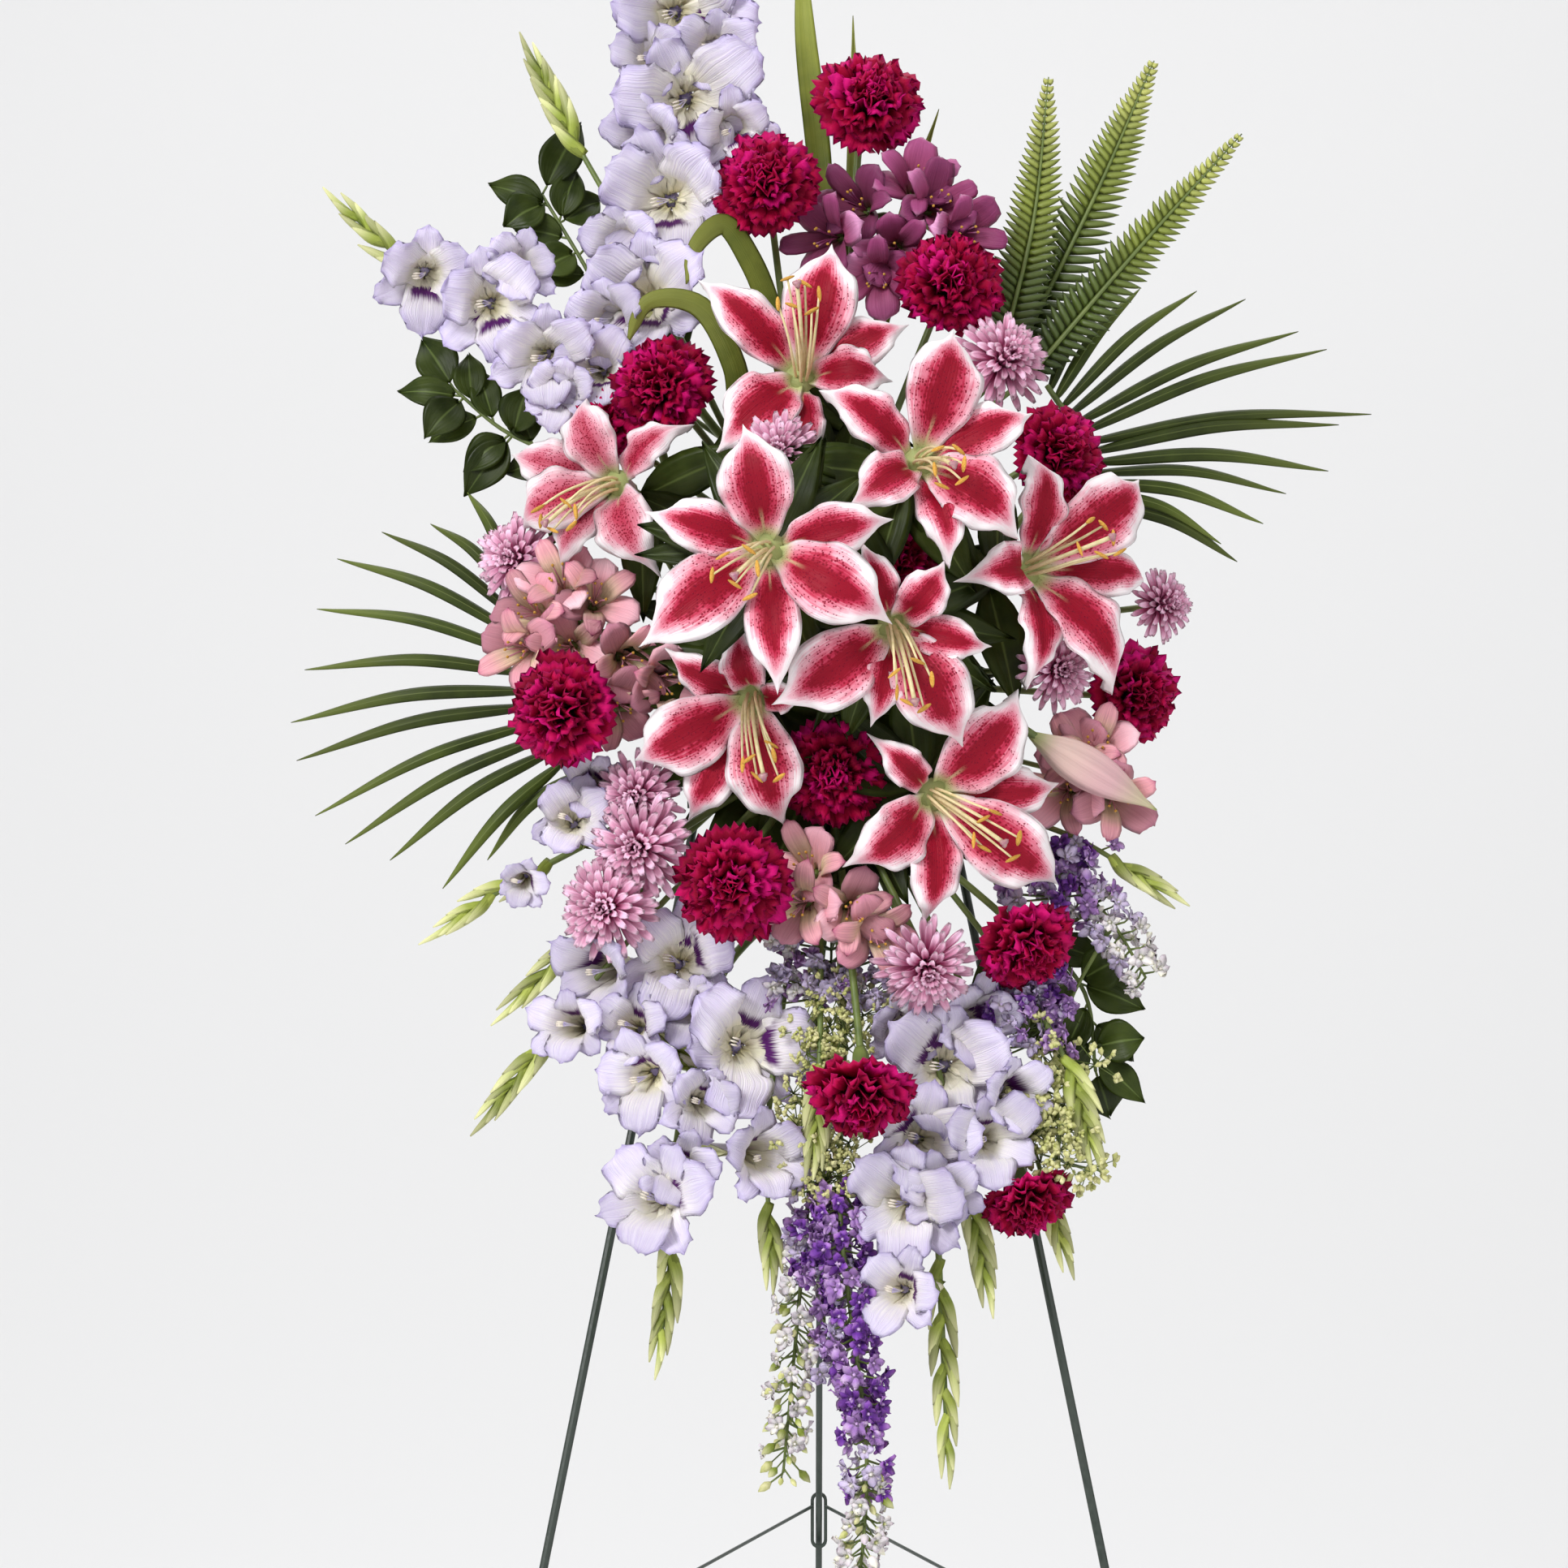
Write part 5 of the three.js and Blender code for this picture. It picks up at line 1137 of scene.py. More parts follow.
def alstroemeria_piece(name, head):
    chance = random.Random(name)
    piece = Piece(name + "_bloom", "alstroemeria_petal", name)
    knot = place(head["at"], head["forward"] - 40)
    dusk = name == "alstroemeria_top"
    skin = ALSTROEMERIA_DUSK if dusk else ALSTROEMERIA
    streaked = ALSTROEMERIA_DUSK if dusk else ALSTROEMERIA_STREAKED
    for k, seen in enumerate(head["seen"]):
        centre = place(seen, head["forward"] + (k % 2) * 5)
        out = centre - knot
        stand = Stand(centre, unit(unit(out) + facing(0, 6) * 0.7), k * 23)
        petals = []
        for j in range(6):
            wide, lift = (12.5, 0) if j % 2 else (8, 5)
            petals.append((j * 60 + chance.uniform(-9, 9), chance.uniform(28, 34), wide, lift))
        trumpet(piece, stand, petals, chance.uniform(2, 9), 26, 3, chance, (skin, streaked), (6, 10), 1.6)
        path = path_of([knot, knot + out * 0.3 + UP * 2, stand.put(0, 0, -34), stand.put(0, 0, -22)], 8)
        piece.rod(path, [1.7, 1.7, 2.2, 3.6], 8, STEM, chance.random())
        for j in range(6):
            a = j + chance.random()
            bow = stand.put(3 * math.cos(a), 3 * math.sin(a), -4)
            path = path_of([stand.put(0, 0, -20), bow, stand.put(7 * math.cos(a), 7 * math.sin(a), 6)], 5)
            piece.rod(path, [0.7, 0.5], 5, skin, 0.3)
            anther = [path[-1] + stand.front * s for s in (0, 1.4, 2.8)]
            piece.rod(anther, [0.6, 1.1, 0.6], 6, ANTHER, 0.2)
    base = Stand(knot, facing())
    piece.rod([base.put(0, 0, z) for z in (-6, -2, 3, 8)], [2.5, 5, 4.5, 2], 10, STEM)
    return piece.finish()


def green_buds(piece, points, count, chance):
    """Closed spear-shaped buds, each in a green sheath, in two ranks on a stalk's outer end."""
    total = np.sum(np.linalg.norm(np.diff(path_of(points, 40), axis=0), axis=1))
    for k in range(count + 2):
        t = min(k * 20 / total, 0.62)
        at, out = outward(points, t)
        across = unit(np.cross(out, FORWARD)) * (1 if k % 2 else -1)
        long = chance.uniform(32, 40) + min(k, 4) * 2
        wide = 2.9 + min(k, 4) * 0.35
        tip = at + out * long + (across * (4 + min(k, 5)) if k else 0) + FORWARD * chance.uniform(0, 6)
        body = [at - out * 2, at * 0.6 + tip * 0.4 + across * 1.5, tip]
        radii = [1.4, wide * 0.85, wide, wide * 0.98, wide * 0.82, wide * 0.58, 0.5]
        piece.rod(path_of(body, 13), radii, 10, BUD, chance.random(), 3, 0.06)
        lie = unit(across * 0.8 + FORWARD * 0.7)
        spine = curve(body, np.array([0.0, 0.35, 0.72]))
        spine = [spot + lie * lift for spot, lift in zip(spine, (0.5, wide * 1.1, wide * 1.05))]
        half = lambda v: np.maximum(wide * 1.35 * np.sin(math.pi * (0.22 + 0.78 * v)) ** 0.8, 0.22)
        blade(piece, spine, lie, half, lambda u, v: -0.85 * wide * u**2, 8, 10, 0.5, BUD, chance.random())


def gladiolus_piece(name, spike):
    chance = random.Random(name)
    piece = Piece(name + "_spike", "gladiolus_petal", name)
    points = line_of(spike["stalk"], spike["forward"])
    spots = path_of(points, 61)
    inside, outside = lead_in(spike["root"])
    path = path_of([*points, outside, inside], 40)
    piece.rod(path, [1.6, 2.4, 3.2, 3.4], 10, STEM, 0.5)
    for k, (px, py, size) in enumerate(spike["florets"]):
        near = min(spots, key=lambda spot: np.linalg.norm(spot - place((px, py), 70)))
        off_stalk = 44
        centre = place((px, py), forward_of(near) + off_stalk)
        out = centre - near
        depth = np.linalg.norm(out)
        front = unit(unit(out) * 0.7 + facing(chance.uniform(-24, 24), chance.uniform(-22, 10)))
        stand = Stand(centre, front, 90 + chance.uniform(-20, 20), size)
        deep = 0.5 * depth / size
        petals = []
        for j in range(6):
            lift = chance.uniform(1, 13) if j % 2 else chance.uniform(-9, 2)
            petals.append(
                (j * 60 + chance.uniform(-12, 12), chance.uniform(46, 64), 26 if j % 2 else 18, lift)
            )
        hangs, large = py > 900, size > 0.65
        marked = chance.choice([(0, 1), (0,), (5, 0)] if hangs else [(3, 4), (3,), (2, 3)])
        grid = (12, 24) if large else (8, 14)
        skins = (GLADIOLUS, GLADIOLUS_MARKED)
        trumpet(piece, stand, petals, chance.uniform(2, 12), deep, 7, chance, skins, grid, 6.2, marked)
        neck = stand.put(0, 0, -deep)
        path = path_of([near, near + out * 0.15 + UP * 1.5, neck, stand.put(0, 0, -deep * 0.96)], 8)
        piece.rod(path, [3, 3.4, 5, 7 * size], 10, GLADIOLUS, 0.4)
        for j in range(3):
            a = math.radians(60 + 30 * j)
            bow = stand.put(2 * math.cos(a), 3 * math.sin(a), -12)
            path = path_of(
                [stand.put(0, 0, -deep * 0.7), bow, stand.put(5 * math.cos(a), 8 * math.sin(a), -2)], 6,
            )
            piece.rod(path, [0.6, 0.5], 5, GLADIOLUS, 0.7)
            anther = [path[-1] + stand.other * s for s in (0, 2.5, 5)]
            piece.rod(anther, [0.5, 0.9, 0.5], 6, GLADIOLUS_ANTHER, 0.4)
        for s in (-1, 1):
            lie = unit(np.cross(out, UP)) * s
            spine = [near - out * 0.05, near + out * 0.25 + lie * 5, near + out * 0.6 + lie * 6]
            half = lambda v: np.maximum(6.5 * np.sin(math.pi * (0.2 + 0.8 * v)), 0.3)
            blade(piece, spine, lie, half, lambda u, v: -4.5 * u**2, 6, 8, 0.6, BUD, chance.random())
    green_buds(piece, points, spike["buds"], chance)
    return piece.finish()


def small_floret(piece, centre, front, size, chance, skin, eye=None):
    """A larkspur floret: small cupped uneven petals, an eye and a thin spur behind."""
    stand = Stand(centre, front, chance.uniform(0, 72), size)
    for j in range(6):
        a = (j * 60 + chance.uniform(-14, 14)) * math.pi / 180
        far, high = chance.uniform(8.5, 15), chance.uniform(-3, 7)
        spot = lambda r, z: stand.put(r * math.cos(a), r * math.sin(a), z)
        points = [spot(0.8, -3), spot(far * 0.5, high * 0.3), spot(far, high)]
        wide, wave = chance.uniform(2.6, 4.8), chance.uniform(-2.6, 2.6)
        half = lambda v: size * np.maximum(
            1 + wide * np.sin(math.pi * np.clip(v, 0, 1) ** 1.2).clip(0) ** 0.9, 0.3,
        )
        fold = lambda u, v: size * (1.6 * u**2 + wave * u * v + 0.8 * np.sin(5 * u + 9 * v + a) * v)
        blade(piece, points, stand.front, half, fold, 2, 5, 0.6, skin, chance.random())
    middle = [stand.put(0, 0, z) for z in (-4, -1, 2)]
    piece.rod(middle, [1.0 * size, 2.0 * size, 1.0 * size], 5, eye or skin, 0.8)
    spur = [stand.put(0, 0, -3), stand.put(1, 2, -8), stand.put(2, 5, -12)]
    piece.rod(spur, [1.3 * size, 0.8 * size, 0.3], 4, skin, 0.3)


def larkspur_run(piece, points, count, wide, size, chance, skins, span=(0.0, 1.0), eye=None):
    """Florets all round a length of stalk, each on its own short stalk."""
    for k in range(count):
        t = span[0] + (span[1] - span[0]) * (k + chance.uniform(0, 0.8)) / count
        at, along = outward(points, t)
        turn = k * 2.4 + chance.uniform(-0.4, 0.4)
        side = unit(np.cross(along, FORWARD))
        out = unit(side * math.cos(turn) + FORWARD * math.sin(turn) + along * 0.25)
        centre = at + out * wide * chance.uniform(0.65, 1.0)
        piece.rod([at, at * 0.4 + centre * 0.6 - UP, centre - out * 3], [0.9, 0.7, 0.7], 4, STEM, 0.6)
        front = unit(out + facing() * 0.5)
        small_floret(
            piece, centre, front, size * chance.uniform(0.8, 1.1), chance, chance.choice(skins), eye,
        )


def tip_buds(piece, points, count, wide, chance, span, skins):
    """Small round buds near a tip."""
    for k in range(count):
        t = span[0] + (span[1] - span[0]) * k / count
        at, along = outward(points, t)
        turn = k * 2.4
        out = unit(unit(np.cross(along, FORWARD)) * math.cos(turn) + FORWARD * math.sin(turn) + along * 0.9)
        end = at + out * wide * chance.uniform(0.7, 1.0)
        piece.rod([at, end], [0.7, 0.6], 4, STEM, 0.6)
        size = chance.uniform(1.8, 3.4)
        path = [end - out * 1.5, end + out * size * 0.6, end + out * size * 1.8, end + out * size * 3]
        piece.rod(path, [0.8, size, size * 0.85, 0.3], 7, chance.choice(skins), chance.random())


def side_branch(piece, trunk, box, forward):
    """A thin branch from a trunk down the middle of a seen box, behind its florets."""
    left, top, right, bottom = box
    head, foot = (place(((left + right) / 2, py), forward - 26) for py in (top, bottom - 12))
    start = min(trunk, key=lambda spot: np.linalg.norm(spot - head))
    branch = path_of([start, head, foot], 20)
    piece.rod(branch, [1.6, 1.2, 0.8], 7, STEM, 0.6)
    return branch


def spray_of_florets(piece, trunk, count, box, forward, skins, chance, size=1.0):
    """Florets all over a seen box, each on a thin stalk from a branch."""
    left, top, right, bottom = box
    branch = side_branch(piece, trunk, box, forward)
    for _ in range(count):
        centre = place(
            (chance.uniform(left, right), chance.uniform(top, bottom)), forward + chance.uniform(-8, 8),
        )
        start = min(branch, key=lambda spot: np.linalg.norm(spot - centre + UP * 8))
        path = path_of([start, start * 0.4 + centre * 0.6 - FORWARD * 4, centre - FORWARD * 4], 6)
        piece.rod(path, [0.9, 0.7], 4, STEM, 0.6)
        front = facing(chance.uniform(-50, 50), chance.uniform(-40, 40))
        small_floret(piece, centre, front, size * chance.uniform(0.8, 1.15), chance, chance.choice(skins))


def filler(piece, trunk, count, box, forward, chance, size=1.0):
    """Thin branching stems with tiny pale green florets, in loose heads."""
    left, top, right, bottom = box
    branch = side_branch(piece, trunk, box, forward)
    hubs = []
    for _ in range(count // 9):
        hub = place(
            (chance.uniform(left, right), chance.uniform(top, bottom)), forward + chance.uniform(-14, 4),
        )
        start = min(branch, key=lambda spot: np.linalg.norm(spot - hub + UP * 14))
        path = path_of([start, start * 0.5 + hub * 0.5 - FORWARD * 5, hub], 6)
        piece.rod(path, [0.8, 0.6], 4, STEM, 0.7)
        hubs.append(hub)
    for k in range(count):
        hub = hubs[k % len(hubs)]
        way = RIGHT * chance.uniform(-1, 1) + UP * chance.uniform(-1, 1)
        way = unit(way + FORWARD * chance.uniform(-0.1, 1.2))
        end = hub + way * chance.uniform(7, 20)
        piece.rod([hub, end], [0.5, 0.4], 3, STEM, 0.9)
        for _ in range(4):
            turn = unit(way + np.array([chance.uniform(-1.1, 1.1) for _ in range(3)]))
            long = size * chance.uniform(3, 5.5)
            fat = long * chance.uniform(0.3, 0.42)
            floret = [end, end + turn * long * 0.6, end + turn * long]
            piece.rod(floret, [0.4, fat, 0.35], 4, FILLER, chance.random())


def larkspur_piece(name, spike):
    chance = random.Random(name)
    slot = "larkspur_lavender_petal" if name == "larkspur_lavender" else "larkspur_purple_petal"
    piece = Piece(name + "_spike", slot, name)
    points = line_of(spike["stalk"], spike["forward"])
    inside, outside = lead_in(spike["root"])
    piece.rod(path_of([*points, outside, inside], 40), [0.9, 1.6, 2.2, 2.2], 8, STEM, 0.5)
    trunk = list(curve(points, np.linspace(0.3, 1, 30)))
    if name == "larkspur_purple":
        tip_buds(piece, points, 36, 15, chance, (0.0, 0.34), [BUD, FILLER, PALE])
        larkspur_run(piece, points[:3], 16, 17, 0.62, chance, [PALE], (0.08, 0.46), BUD)
        larkspur_run(
            piece, points, 20, 15, 0.64, chance, [LILAC, LILAC, PURPLE, LAVENDER], (0.26, 0.42), PALE,
        )
        larkspur_run(
            piece, points, 84, 18, 0.7, chance, [PURPLE, PURPLE, PURPLE, LILAC], (0.38, 0.72), LILAC,
        )
        spray_of_florets(
            piece, trunk, 46, (968, 1480, 1085, 1580), 90, [PURPLE, LILAC, LAVENDER], chance, 0.6,
        )
        spray_of_florets(piece, trunk, 14, (1000, 1590, 1036, 1700), 88, [LILAC, LAVENDER], chance, 0.6)
    elif name == "larkspur_lavender":
        tip_buds(piece, points, 40, 16, chance, (0.0, 0.36), [BUD, FILLER])
        larkspur_run(piece, points, 34, 16, 0.62, chance, [PALE], (0.04, 0.5))
        larkspur_run(piece, points, 30, 15, 0.66, chance, [LAVENDER, LILAC], (0.44, 0.95))
        spray_of_florets(
            piece, trunk, 96, (945, 1118, 1102, 1240), 100, [LAVENDER, LAVENDER, LILAC, PALE], chance, 0.6,
        )
        filler(piece, trunk, 190, (985, 1215, 1082, 1312), 94, chance)
        filler(piece, trunk, 260, (972, 1345, 1058, 1465), 94, chance)
    else:
        larkspur_run(piece, points, 30, 17, 0.64, chance, [PALE, LAVENDER, PALE], (0.0, 0.5))
        larkspur_run(piece, points, 30, 18, 0.68, chance, [LILAC, LAVENDER], (0.4, 0.95))
        spray_of_florets(
            piece, trunk, 58, (1215, 1195, 1322, 1300), 98, [PURPLE, LILAC, LILAC, LAVENDER], chance, 0.62,
        )
        spray_of_florets(
            piece, trunk, 36, (1235, 1040, 1378, 1118), 98, [PURPLE, LILAC, LAVENDER], chance, 0.64,
        )
        filler(piece, trunk, 220, (1252, 1272, 1358, 1440), 88, chance, 1.25)
    return piece.finish()


def palm_piece(name, palm):
    chance = random.Random(name)
    piece = Piece(name + "_frond", "palm_leaf", name)
    top, middle, low = line_of(palm["rachis"], [62] * 3)
    inside, outside = lead_in(palm["root"])
    piece.rod(path_of([inside, outside, middle], 16), [2.8, 3], 8, STEM, 0.3)
    piece.rod(path_of([top, middle, low], 20), [2, 2.6, 2], 8, STEM, 0.3)
    for k, seen in enumerate(palm["tips"]):
        start = curve([top, middle, low], np.array((k + 0.5) / len(palm["tips"])))
        tip = place(seen, 38 + (k % 3) * 5)
        bend = start * 0.5 + tip * 0.5 + np.array([0, 0, 6.0]) + FORWARD * 9
        wide = chance.uniform(4.6, 5.6)
        half = lambda v: np.maximum(
            1.4 + (wide - 1.4) * np.sin(math.pi * v**0.8).clip(0) ** 0.8 - 1.2 * v, 0.3,
        )
        keel = lambda u, v: -2.6 * abs(u) * (1 - 0.6 * v)
        blade(piece, [start, bend, tip], FORWARD, half, keel, 6, 26, 0.6, PALM, chance.random())
    return piece.finish()


def fern_piece():
    chance = random.Random("ferns")
    piece = Piece("sword_fern_fronds", "fern_leaf", "sword_ferns")
    inside, outside = holder(26, 96, STALK_LEVEL), holder(30, 137, STALK_LEVEL - 2)
    piece.rod([inside, outside], [3.2, 3.2], 10, STEM, 0.3)
    for fern in FERNS:
        shifts = (-8, 10, -6)
        points = [place(seen, fern["forward"] + shift) for seen, shift in zip(fern["points"], shifts)]
        piece.rod([outside - UP * 4, points[0]], [2, 2], 8, STEM, 0.3)
        pairs = 38
        times = np.linspace(0.03, 0.99, pairs)
        piece.rod(path_of(points, 30), [2, 1.5, 0.5], 6, STEM, 0.35)
        for k, t in enumerate(times):
            at, ahead = curve(points, np.array([max(t - 0.01, 0), min(t + 0.01, 1)]))
            along = unit(ahead - at)
            for s in (-1, 1):
                out = unit(s * np.cross(along, FORWARD) + along * (0.25 + 0.5 * t))
                taper = min(1, 0.45 + t * 3) * (1 - 0.86 * t**2.6)
                size = (fern["wide"] + 2) * taper * chance.uniform(0.9, 1.04)
                end = at + out * size - FORWARD * size * 0.12
                spine = [at, at + out * size * 0.55 + FORWARD * 1.2, end + along * 1.5]
                half = lambda v: np.maximum(3.5 * (1 - 0.35 * t) * (1 - v**2.6) + 0.2, 0.25)
                blade(piece, spine, FORWARD, half, lambda u, v: -0.5 * abs(u), 2, 5, 0.5, FERN, t)
    return piece.finish()


def sword_piece():
    chance = random.Random("swords")
    piece = Piece("sword_leaf_blades", "sword_leaf", "sword_leaves")
    inside, collar = holder(-4, 92, STALK_LEVEL + 6), holder(-4, 131, STALK_LEVEL + 6)
    piece.rod([inside, collar], [4.5, 5.5], 12, STEM, 0.4)
    for leaf in SWORD_LEAVES:
        points = [collar - UP * 3, *line_of(leaf["seen"], leaf["forward"])]
        wide = leaf["wide"]
        half = lambda v: np.maximum(wide * (0.55 + 0.45 * np.sin(math.pi * v)) * (1 - v**5), 0.3)
        fold = lambda u, v: 1.6 * abs(u) + 0.5 * np.sin(9 * v)
        blade(piece, points, FORWARD, half, fold, 8, 40, 0.8, SWORD, chance.random())
    return piece.finish()


def broad_leaf(piece, start, tip, wide, skin, chance, grid=(10, 14), face=FORWARD):
    middle = start * 0.5 + tip * 0.5 + face * 5
    swell = lambda v: np.sin(math.pi * np.clip(v, 0, 1) ** 0.8).clip(0) ** 1.1
    half = lambda v: np.maximum(1.2 * (1 - v**2) + (wide - 1.2) * swell(v), 0.3)
    sway = chance.uniform(-2, 2)

    def rise(u, v):
        return wide * 0.22 * abs(u) ** 1.4 + sway * u * v + 0.7 * u**2 * np.sin(12 * v + sway) - 3 * v**2

    blade(piece, [start, middle, tip], face, half, rise, *grid, 0.7, skin, chance.random())


def salal_piece(name, twig):
    chance = random.Random(name)
    piece = Piece(name + "_twig", "salal_leaf", name)
    points = line_of(twig["twig"], twig["forward"])
    near_end = points[:-1]
    inside, outside = lead_in(twig["root"])
    piece.rod(path_of([inside, outside, *near_end[::-1]], 30), [2.2, 1.8, 1.2], 8, STEM, 0.2)
    spots = path_of(near_end, 21)
    for k, seen in enumerate(twig["leaves"]):
        centre = place(seen, twig["forward"][0] + (4 if k % 2 else -6))
        far = sorted(spots, key=lambda spot: np.linalg.norm(spot - centre))
        start = far[0]
        if np.linalg.norm(start - centre) < 12:
            start = next(spot for spot in far if np.linalg.norm(spot - centre) > 20)
        gap = np.linalg.norm(start - centre)
        tip = start + (centre - start) * (1 + 36 / max(28, gap))
        base = start + (tip - start) * 0.12
        piece.rod([start, base], [0.9, 0.9], 6, STEM, 0.3)
        broad_leaf(piece, base, tip, 15.5, SALAL, chance)
    for k in range(8):
        t = 0.08 + 0.8 * k / 7
        at, out = outward(near_end, t)
        aside = unit(np.cross(out, FORWARD)) * (1 if k % 2 else -1)
        way = unit(out * chance.uniform(0.3, 1.0) + aside * chance.uniform(0.5, 1.0) - FORWARD * 0.15)
        base = at + way * 5
        piece.rod([at, base], [0.9, 0.9], 6, STEM, 0.3)
        broad_leaf(piece, base, base + way * chance.uniform(34, 46), chance.uniform(11, 14), SALAL, chance)
    return piece.finish()


def stems_piece():
    chance = random.Random("stems")
    piece = Piece("flower_stems", "stem_green", "stems")

    def stem(start, back, radius):
        root = stem_root(back)
        path = path_of([start, back, back * 0.5 + root * 0.5 + FORWARD * 2, root], 16)
        piece.rod(path, [radius * 1.1, radius * 1.2], 8, STEM, chance.random())

    def bloom_stem(bloom, depth, radius, inside):
        """A stem from the bottom of a bloom, which is its depth behind the middle, into the foam."""
        axis = facing(bloom["yaw"], bloom["pitch"])
        centre = place(bloom["at"], bloom["forward"])
        size = bloom.get("size", 1)
        stem(centre - axis * (depth * size - inside), centre - axis * (depth * size + 14), radius)

    for bloom in LILIES.values():
        bloom_stem(bloom, depth=44, radius=3.2, inside=10)
        stand = stand_of(bloom)
        for k in range(11):
            turn = k * 2.4 + chance.random()
            base = stand.put(0, 0, -52 - (k % 3) * 5)
            reach = 88
            tip = stand.put(math.cos(turn) * reach, math.sin(turn) * reach, -52 - chance.uniform(0, 16))
            aside, above = abs(np.dot(tip - FOAM_MIDDLE, RIGHT)), abs(np.dot(tip - FOAM_MIDDLE, UP))
            if aside < 135 and above < 165:
                broad_leaf(piece, base, tip, chance.uniform(13, 17), SALAL, chance, (6, 9))
    for bloom in sum(CARNATIONS.values(), []):
        bloom_stem(bloom, depth=24, radius=2.2, inside=3)
        stand = stand_of(bloom)
        cup = [stand.put(0, 0, z) for z in (-40, -38, -34, -26, -19, -14)]
        piece.rod(cup, [2.4, 4.2, 5.4, 6.2, 6.8, 7.4], 15, STEM, 0.6, 5, 0.05)
    for bloom in sum(CHRYSANTHEMUMS.values(), []):
        bloom_stem(bloom, depth=14, radius=2, inside=8)
    for head in ALSTROEMERIA_HEADS.values():
        knot = place(head["at"], head["forward"] - 40)
        out = unit(knot - stem_root(knot))
        stem(knot + out * 2, knot - out * 12, 1.6)
    low, high = (place(*end) for end in LILY_BUD_ENDS)
    way = unit(high - low)
    stem(low + way * 10, low - way * 14, 2.6)
    for spike in BUD_STALKS:
        points = line_of(spike["stalk"], spike["forward"])
        path = path_of([*points, stem_root(points[-1])], 34)
        piece.rod(path, [1.4, 2.2, 2.8], 8, STEM, chance.random())
        green_buds(piece, points, spike["buds"], chance)
    for leaf in ARCHED_LEAVES:
        path = line_of(leaf["seen"], leaf["forward"])
        swell = lambda v: 5.5 * np.sin(math.pi * np.minimum(1, v * 0.9 + 0.08))
        half = lambda v: np.maximum(3 + swell(v) - 8 * np.clip(v - 0.93, 0, 1) ** 0.8 * 3, 0.3)
        face = unit(np.cross(unit(np.cross([0.25, -0.95, 0], UP)), path[2] - path[1]))
        fold = lambda u, v: 1.2 * abs(u)
        blade(piece, [stem_root(path[0]), *path], face, half, fold, 8, 44, 0.8, SWORD, chance.random())
    for k in range(10):
        side, row = (1 if k % 2 else -1), (k // 2) / 4
        start = holder(side * 6, -66 + 132 * row, FOAM_FRONT + 7)
        turn = math.radians(-62 + 124 * row + side * 7)
        out = unit(RIGHT * side * math.cos(turn) + UP * math.sin(turn))
        broad_leaf(piece, start, start + out * 94 + FORWARD * 10, 23, SALAL, chance, (6, 9))
    for k in range(34):
        turn = k * 2.4
        start = holder(math.cos(turn) * 44, math.sin(turn) * 92, FOAM_FRONT - 8 + 12 * chance.random())
        way = RIGHT * math.cos(turn) + UP * math.sin(turn)
        way = unit(way + FORWARD * chance.uniform(0.1, 0.75))
        broad_leaf(
            piece, start, start + way * chance.uniform(70, 105), chance.uniform(14, 20), SALAL, chance,
            (6, 9),
        )
    for u in range(-9, 10, 6):
        for w in range(-70, 71, 10):
            ends = [holder(u, w, FOAM_FRONT - 34), holder(u * 0.9, w, FOAM_FRONT + 11)]
            piece.rod(ends, [3, 2.6], 8, STEM, chance.random())
    return piece.finish()


def lily_bud_piece():
    piece = Piece("lily_bud_closed", "lily_bud_skin", "lily_bud")
    low, high = (place(*end) for end in LILY_BUD_ENDS)
    path = [low + (high - low) * t for t in np.linspace(0, 1, 26)]
    piece.rod(path, [2.5, 6, 10, 12.8, 13.8, 13.6, 12.2, 9.6, 6.2, 2.6, 0.6], 36, LILY_BUD, 0.5, 6, 0.07)
    return piece.finish()


for name, bloom in LILIES.items():
    lily_piece(name, bloom)
lily_bud_piece()
for name, blooms in CARNATIONS.items():
    carnation_piece(name, blooms)
for name, blooms in CHRYSANTHEMUMS.items():
    chrysanthemum_piece(name, blooms)
for name, head in ALSTROEMERIA_HEADS.items():
    alstroemeria_piece(name, head)
for name, spike in GLADIOLUS_SPIKES.items():
    gladiolus_piece(name, spike)
for name, spike in LARKSPUR_SPIKES.items():
    larkspur_piece(name, spike)
for name, palm in PALMS.items():
    palm_piece(name, palm)
for name, twig in SALALS.items():
    salal_piece(name, twig)
fern_piece()
sword_piece()
stems_piece()


# The easel, the foam and its tray keep their solids and get their finishes.
def dress(material, *names):
    for name in names:
        solid = NODES[name].data
        solid.materials.clear()
        solid.materials.append(material)


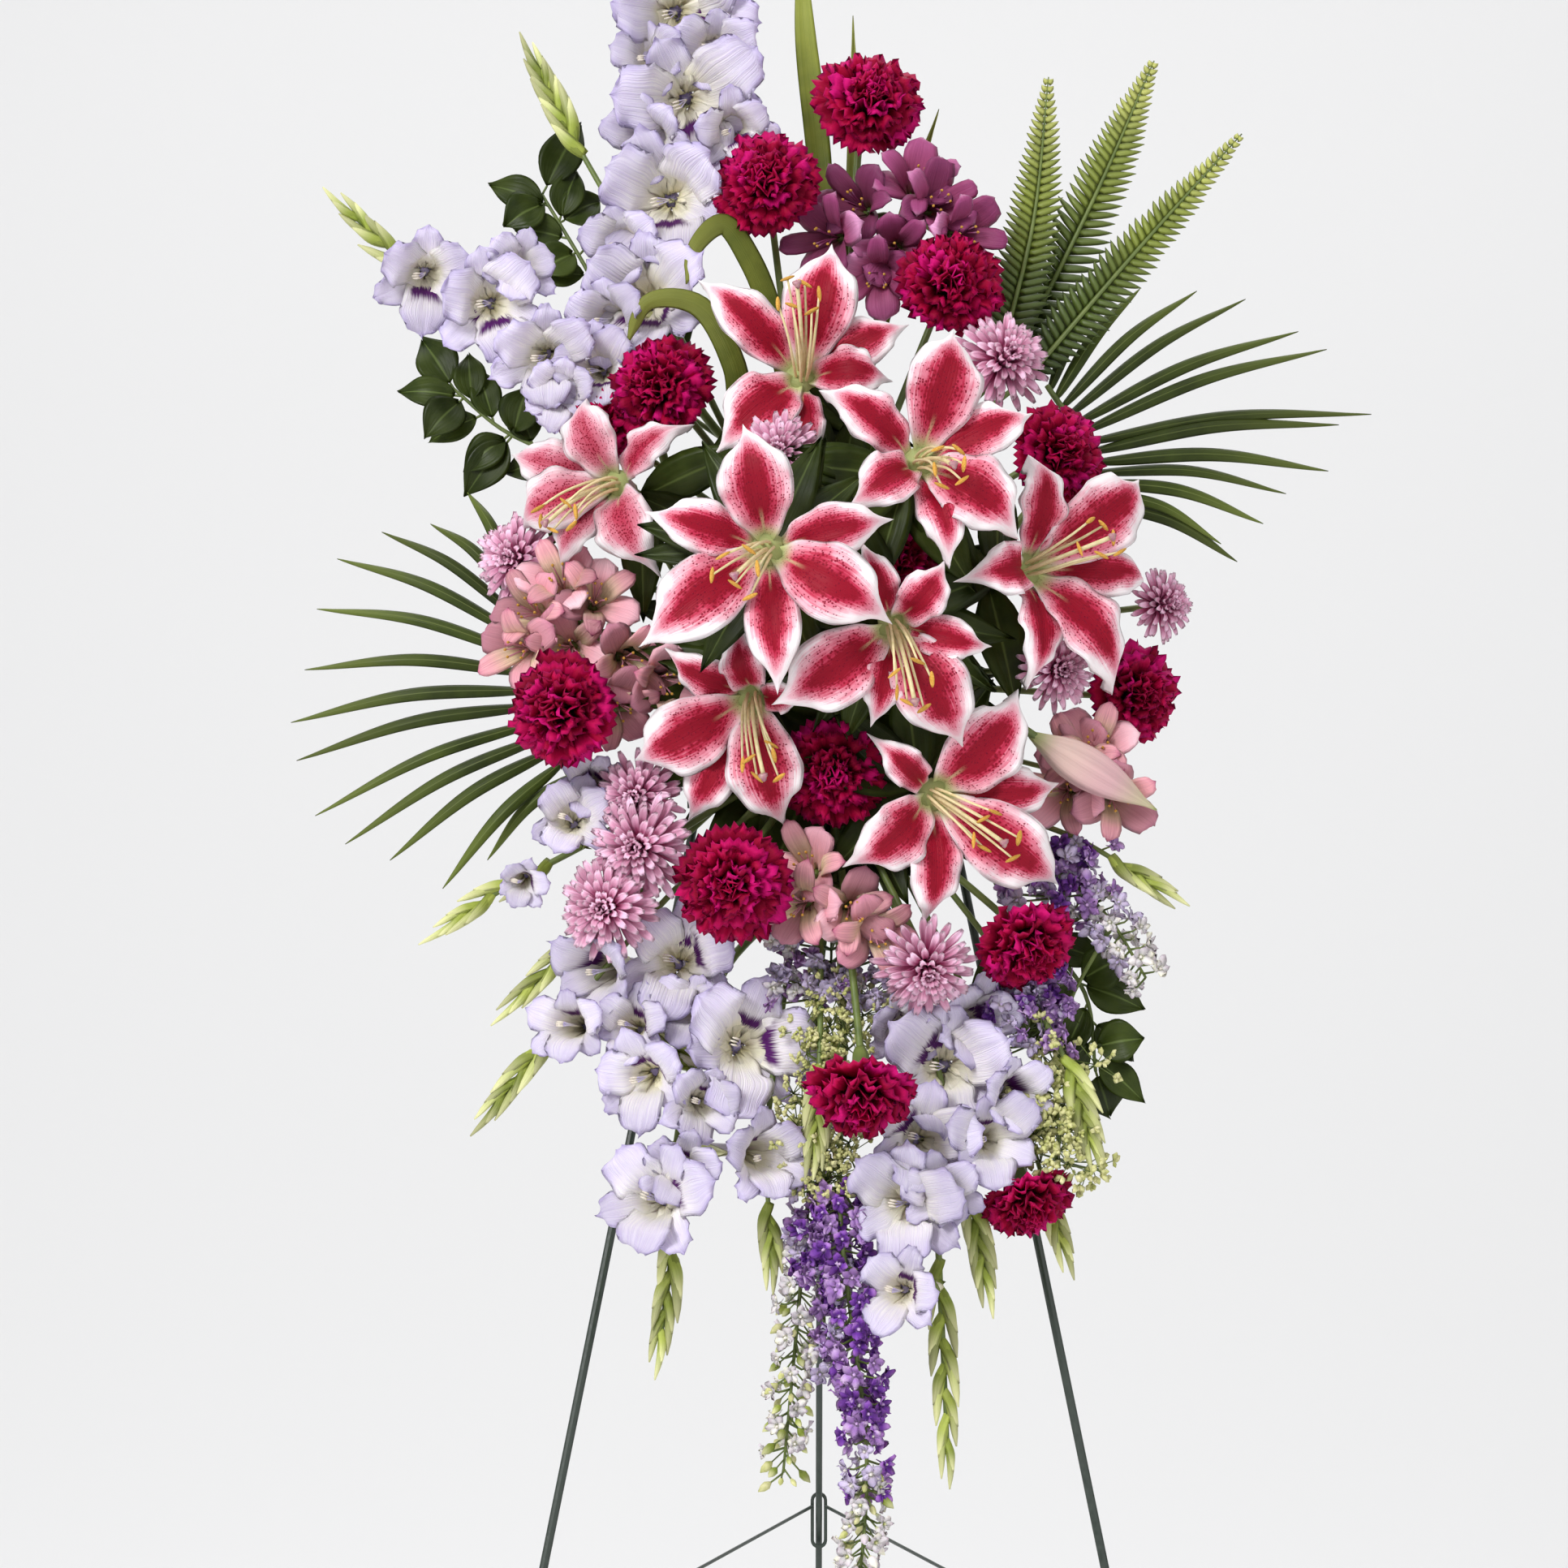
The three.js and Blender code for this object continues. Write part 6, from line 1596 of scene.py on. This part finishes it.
dress(EASEL, "front_leg_left", "front_leg_right", "top_bar", "crossbar_upper", "crossbar_lower")
dress(EASEL, "back_leg", "spreader_loop", "spreader_arm_left", "spreader_arm_right")
dress(FOAM, "foam_brick")
dress(TRAY, "foam_tray")


# Stage and light.
def make_stage():
    """A pale floor that sweeps up into a pale wall far behind the spray."""
    bend, start, half, wall_top = 6.0, 2.5, 10, 9.0
    turns = np.linspace(0, math.pi / 2, 33)
    sweep = [(start + bend * math.sin(a), bend - bend * math.cos(a)) for a in turns]
    profile = [(-half, 0.0), *sweep, (start + bend, wall_top)]
    points = [(x, y, z) for y, z in profile for x in (-half, half)]
    quads = [(2 * i, 2 * i + 1, 2 * i + 3, 2 * i + 2) for i in range(len(profile) - 1)]
    mesh = bpy.data.meshes.new("floor")
    mesh.from_pydata(points, [], quads)
    mesh.polygons.foreach_set("use_smooth", [True] * len(mesh.polygons))
    finish = Finish("floor_paint", 0.9)
    set_value(finish.shader, "Base Color", (0.84, 0.84, 0.845))
    mesh.materials.append(finish.material)
    floor = show(bpy.data.objects.new("floor", mesh))


def make_light(name, spot, aim, width, height, power):
    data = bpy.data.lights.new(name, "AREA")
    data.shape = "RECTANGLE"
    data.size, data.size_y, data.energy = width, height, power
    light = show(bpy.data.objects.new(name, data))
    light.location = spot
    light.rotation_euler = (Vector(aim) - Vector(spot)).to_track_quat("-Z", "Y").to_euler()


make_stage()
make_light("key", (-2.2, -3.2, 3.3), (0, 0, 1.1), 1.6, 1.6, 128)
make_light("fill", (3.0, -3.2, 1.8), (0, 0, 1.0), 3.0, 3.0, 26)
make_light("top", (0, 0.9, 3.6), (0, 0.2, 1.0), 3.0, 2.4, 46)
make_light("wall", (0, 4.6, 5.6), (0, 6.4, 0.8), 9.0, 3.0, 158)
make_light("front_floor", (0, -5.4, 5.6), (0, -7.2, 0), 9.0, 3.0, 210)
world = bpy.data.worlds.new("soft_room")
world.use_nodes = True
background = world.node_tree.nodes["Background"]
set_value(background, "Color", (1, 1, 1))
set_value(background, "Strength", 0.42)
bpy.context.scene.world = world
bpy.context.scene.view_settings.view_transform = "Standard"
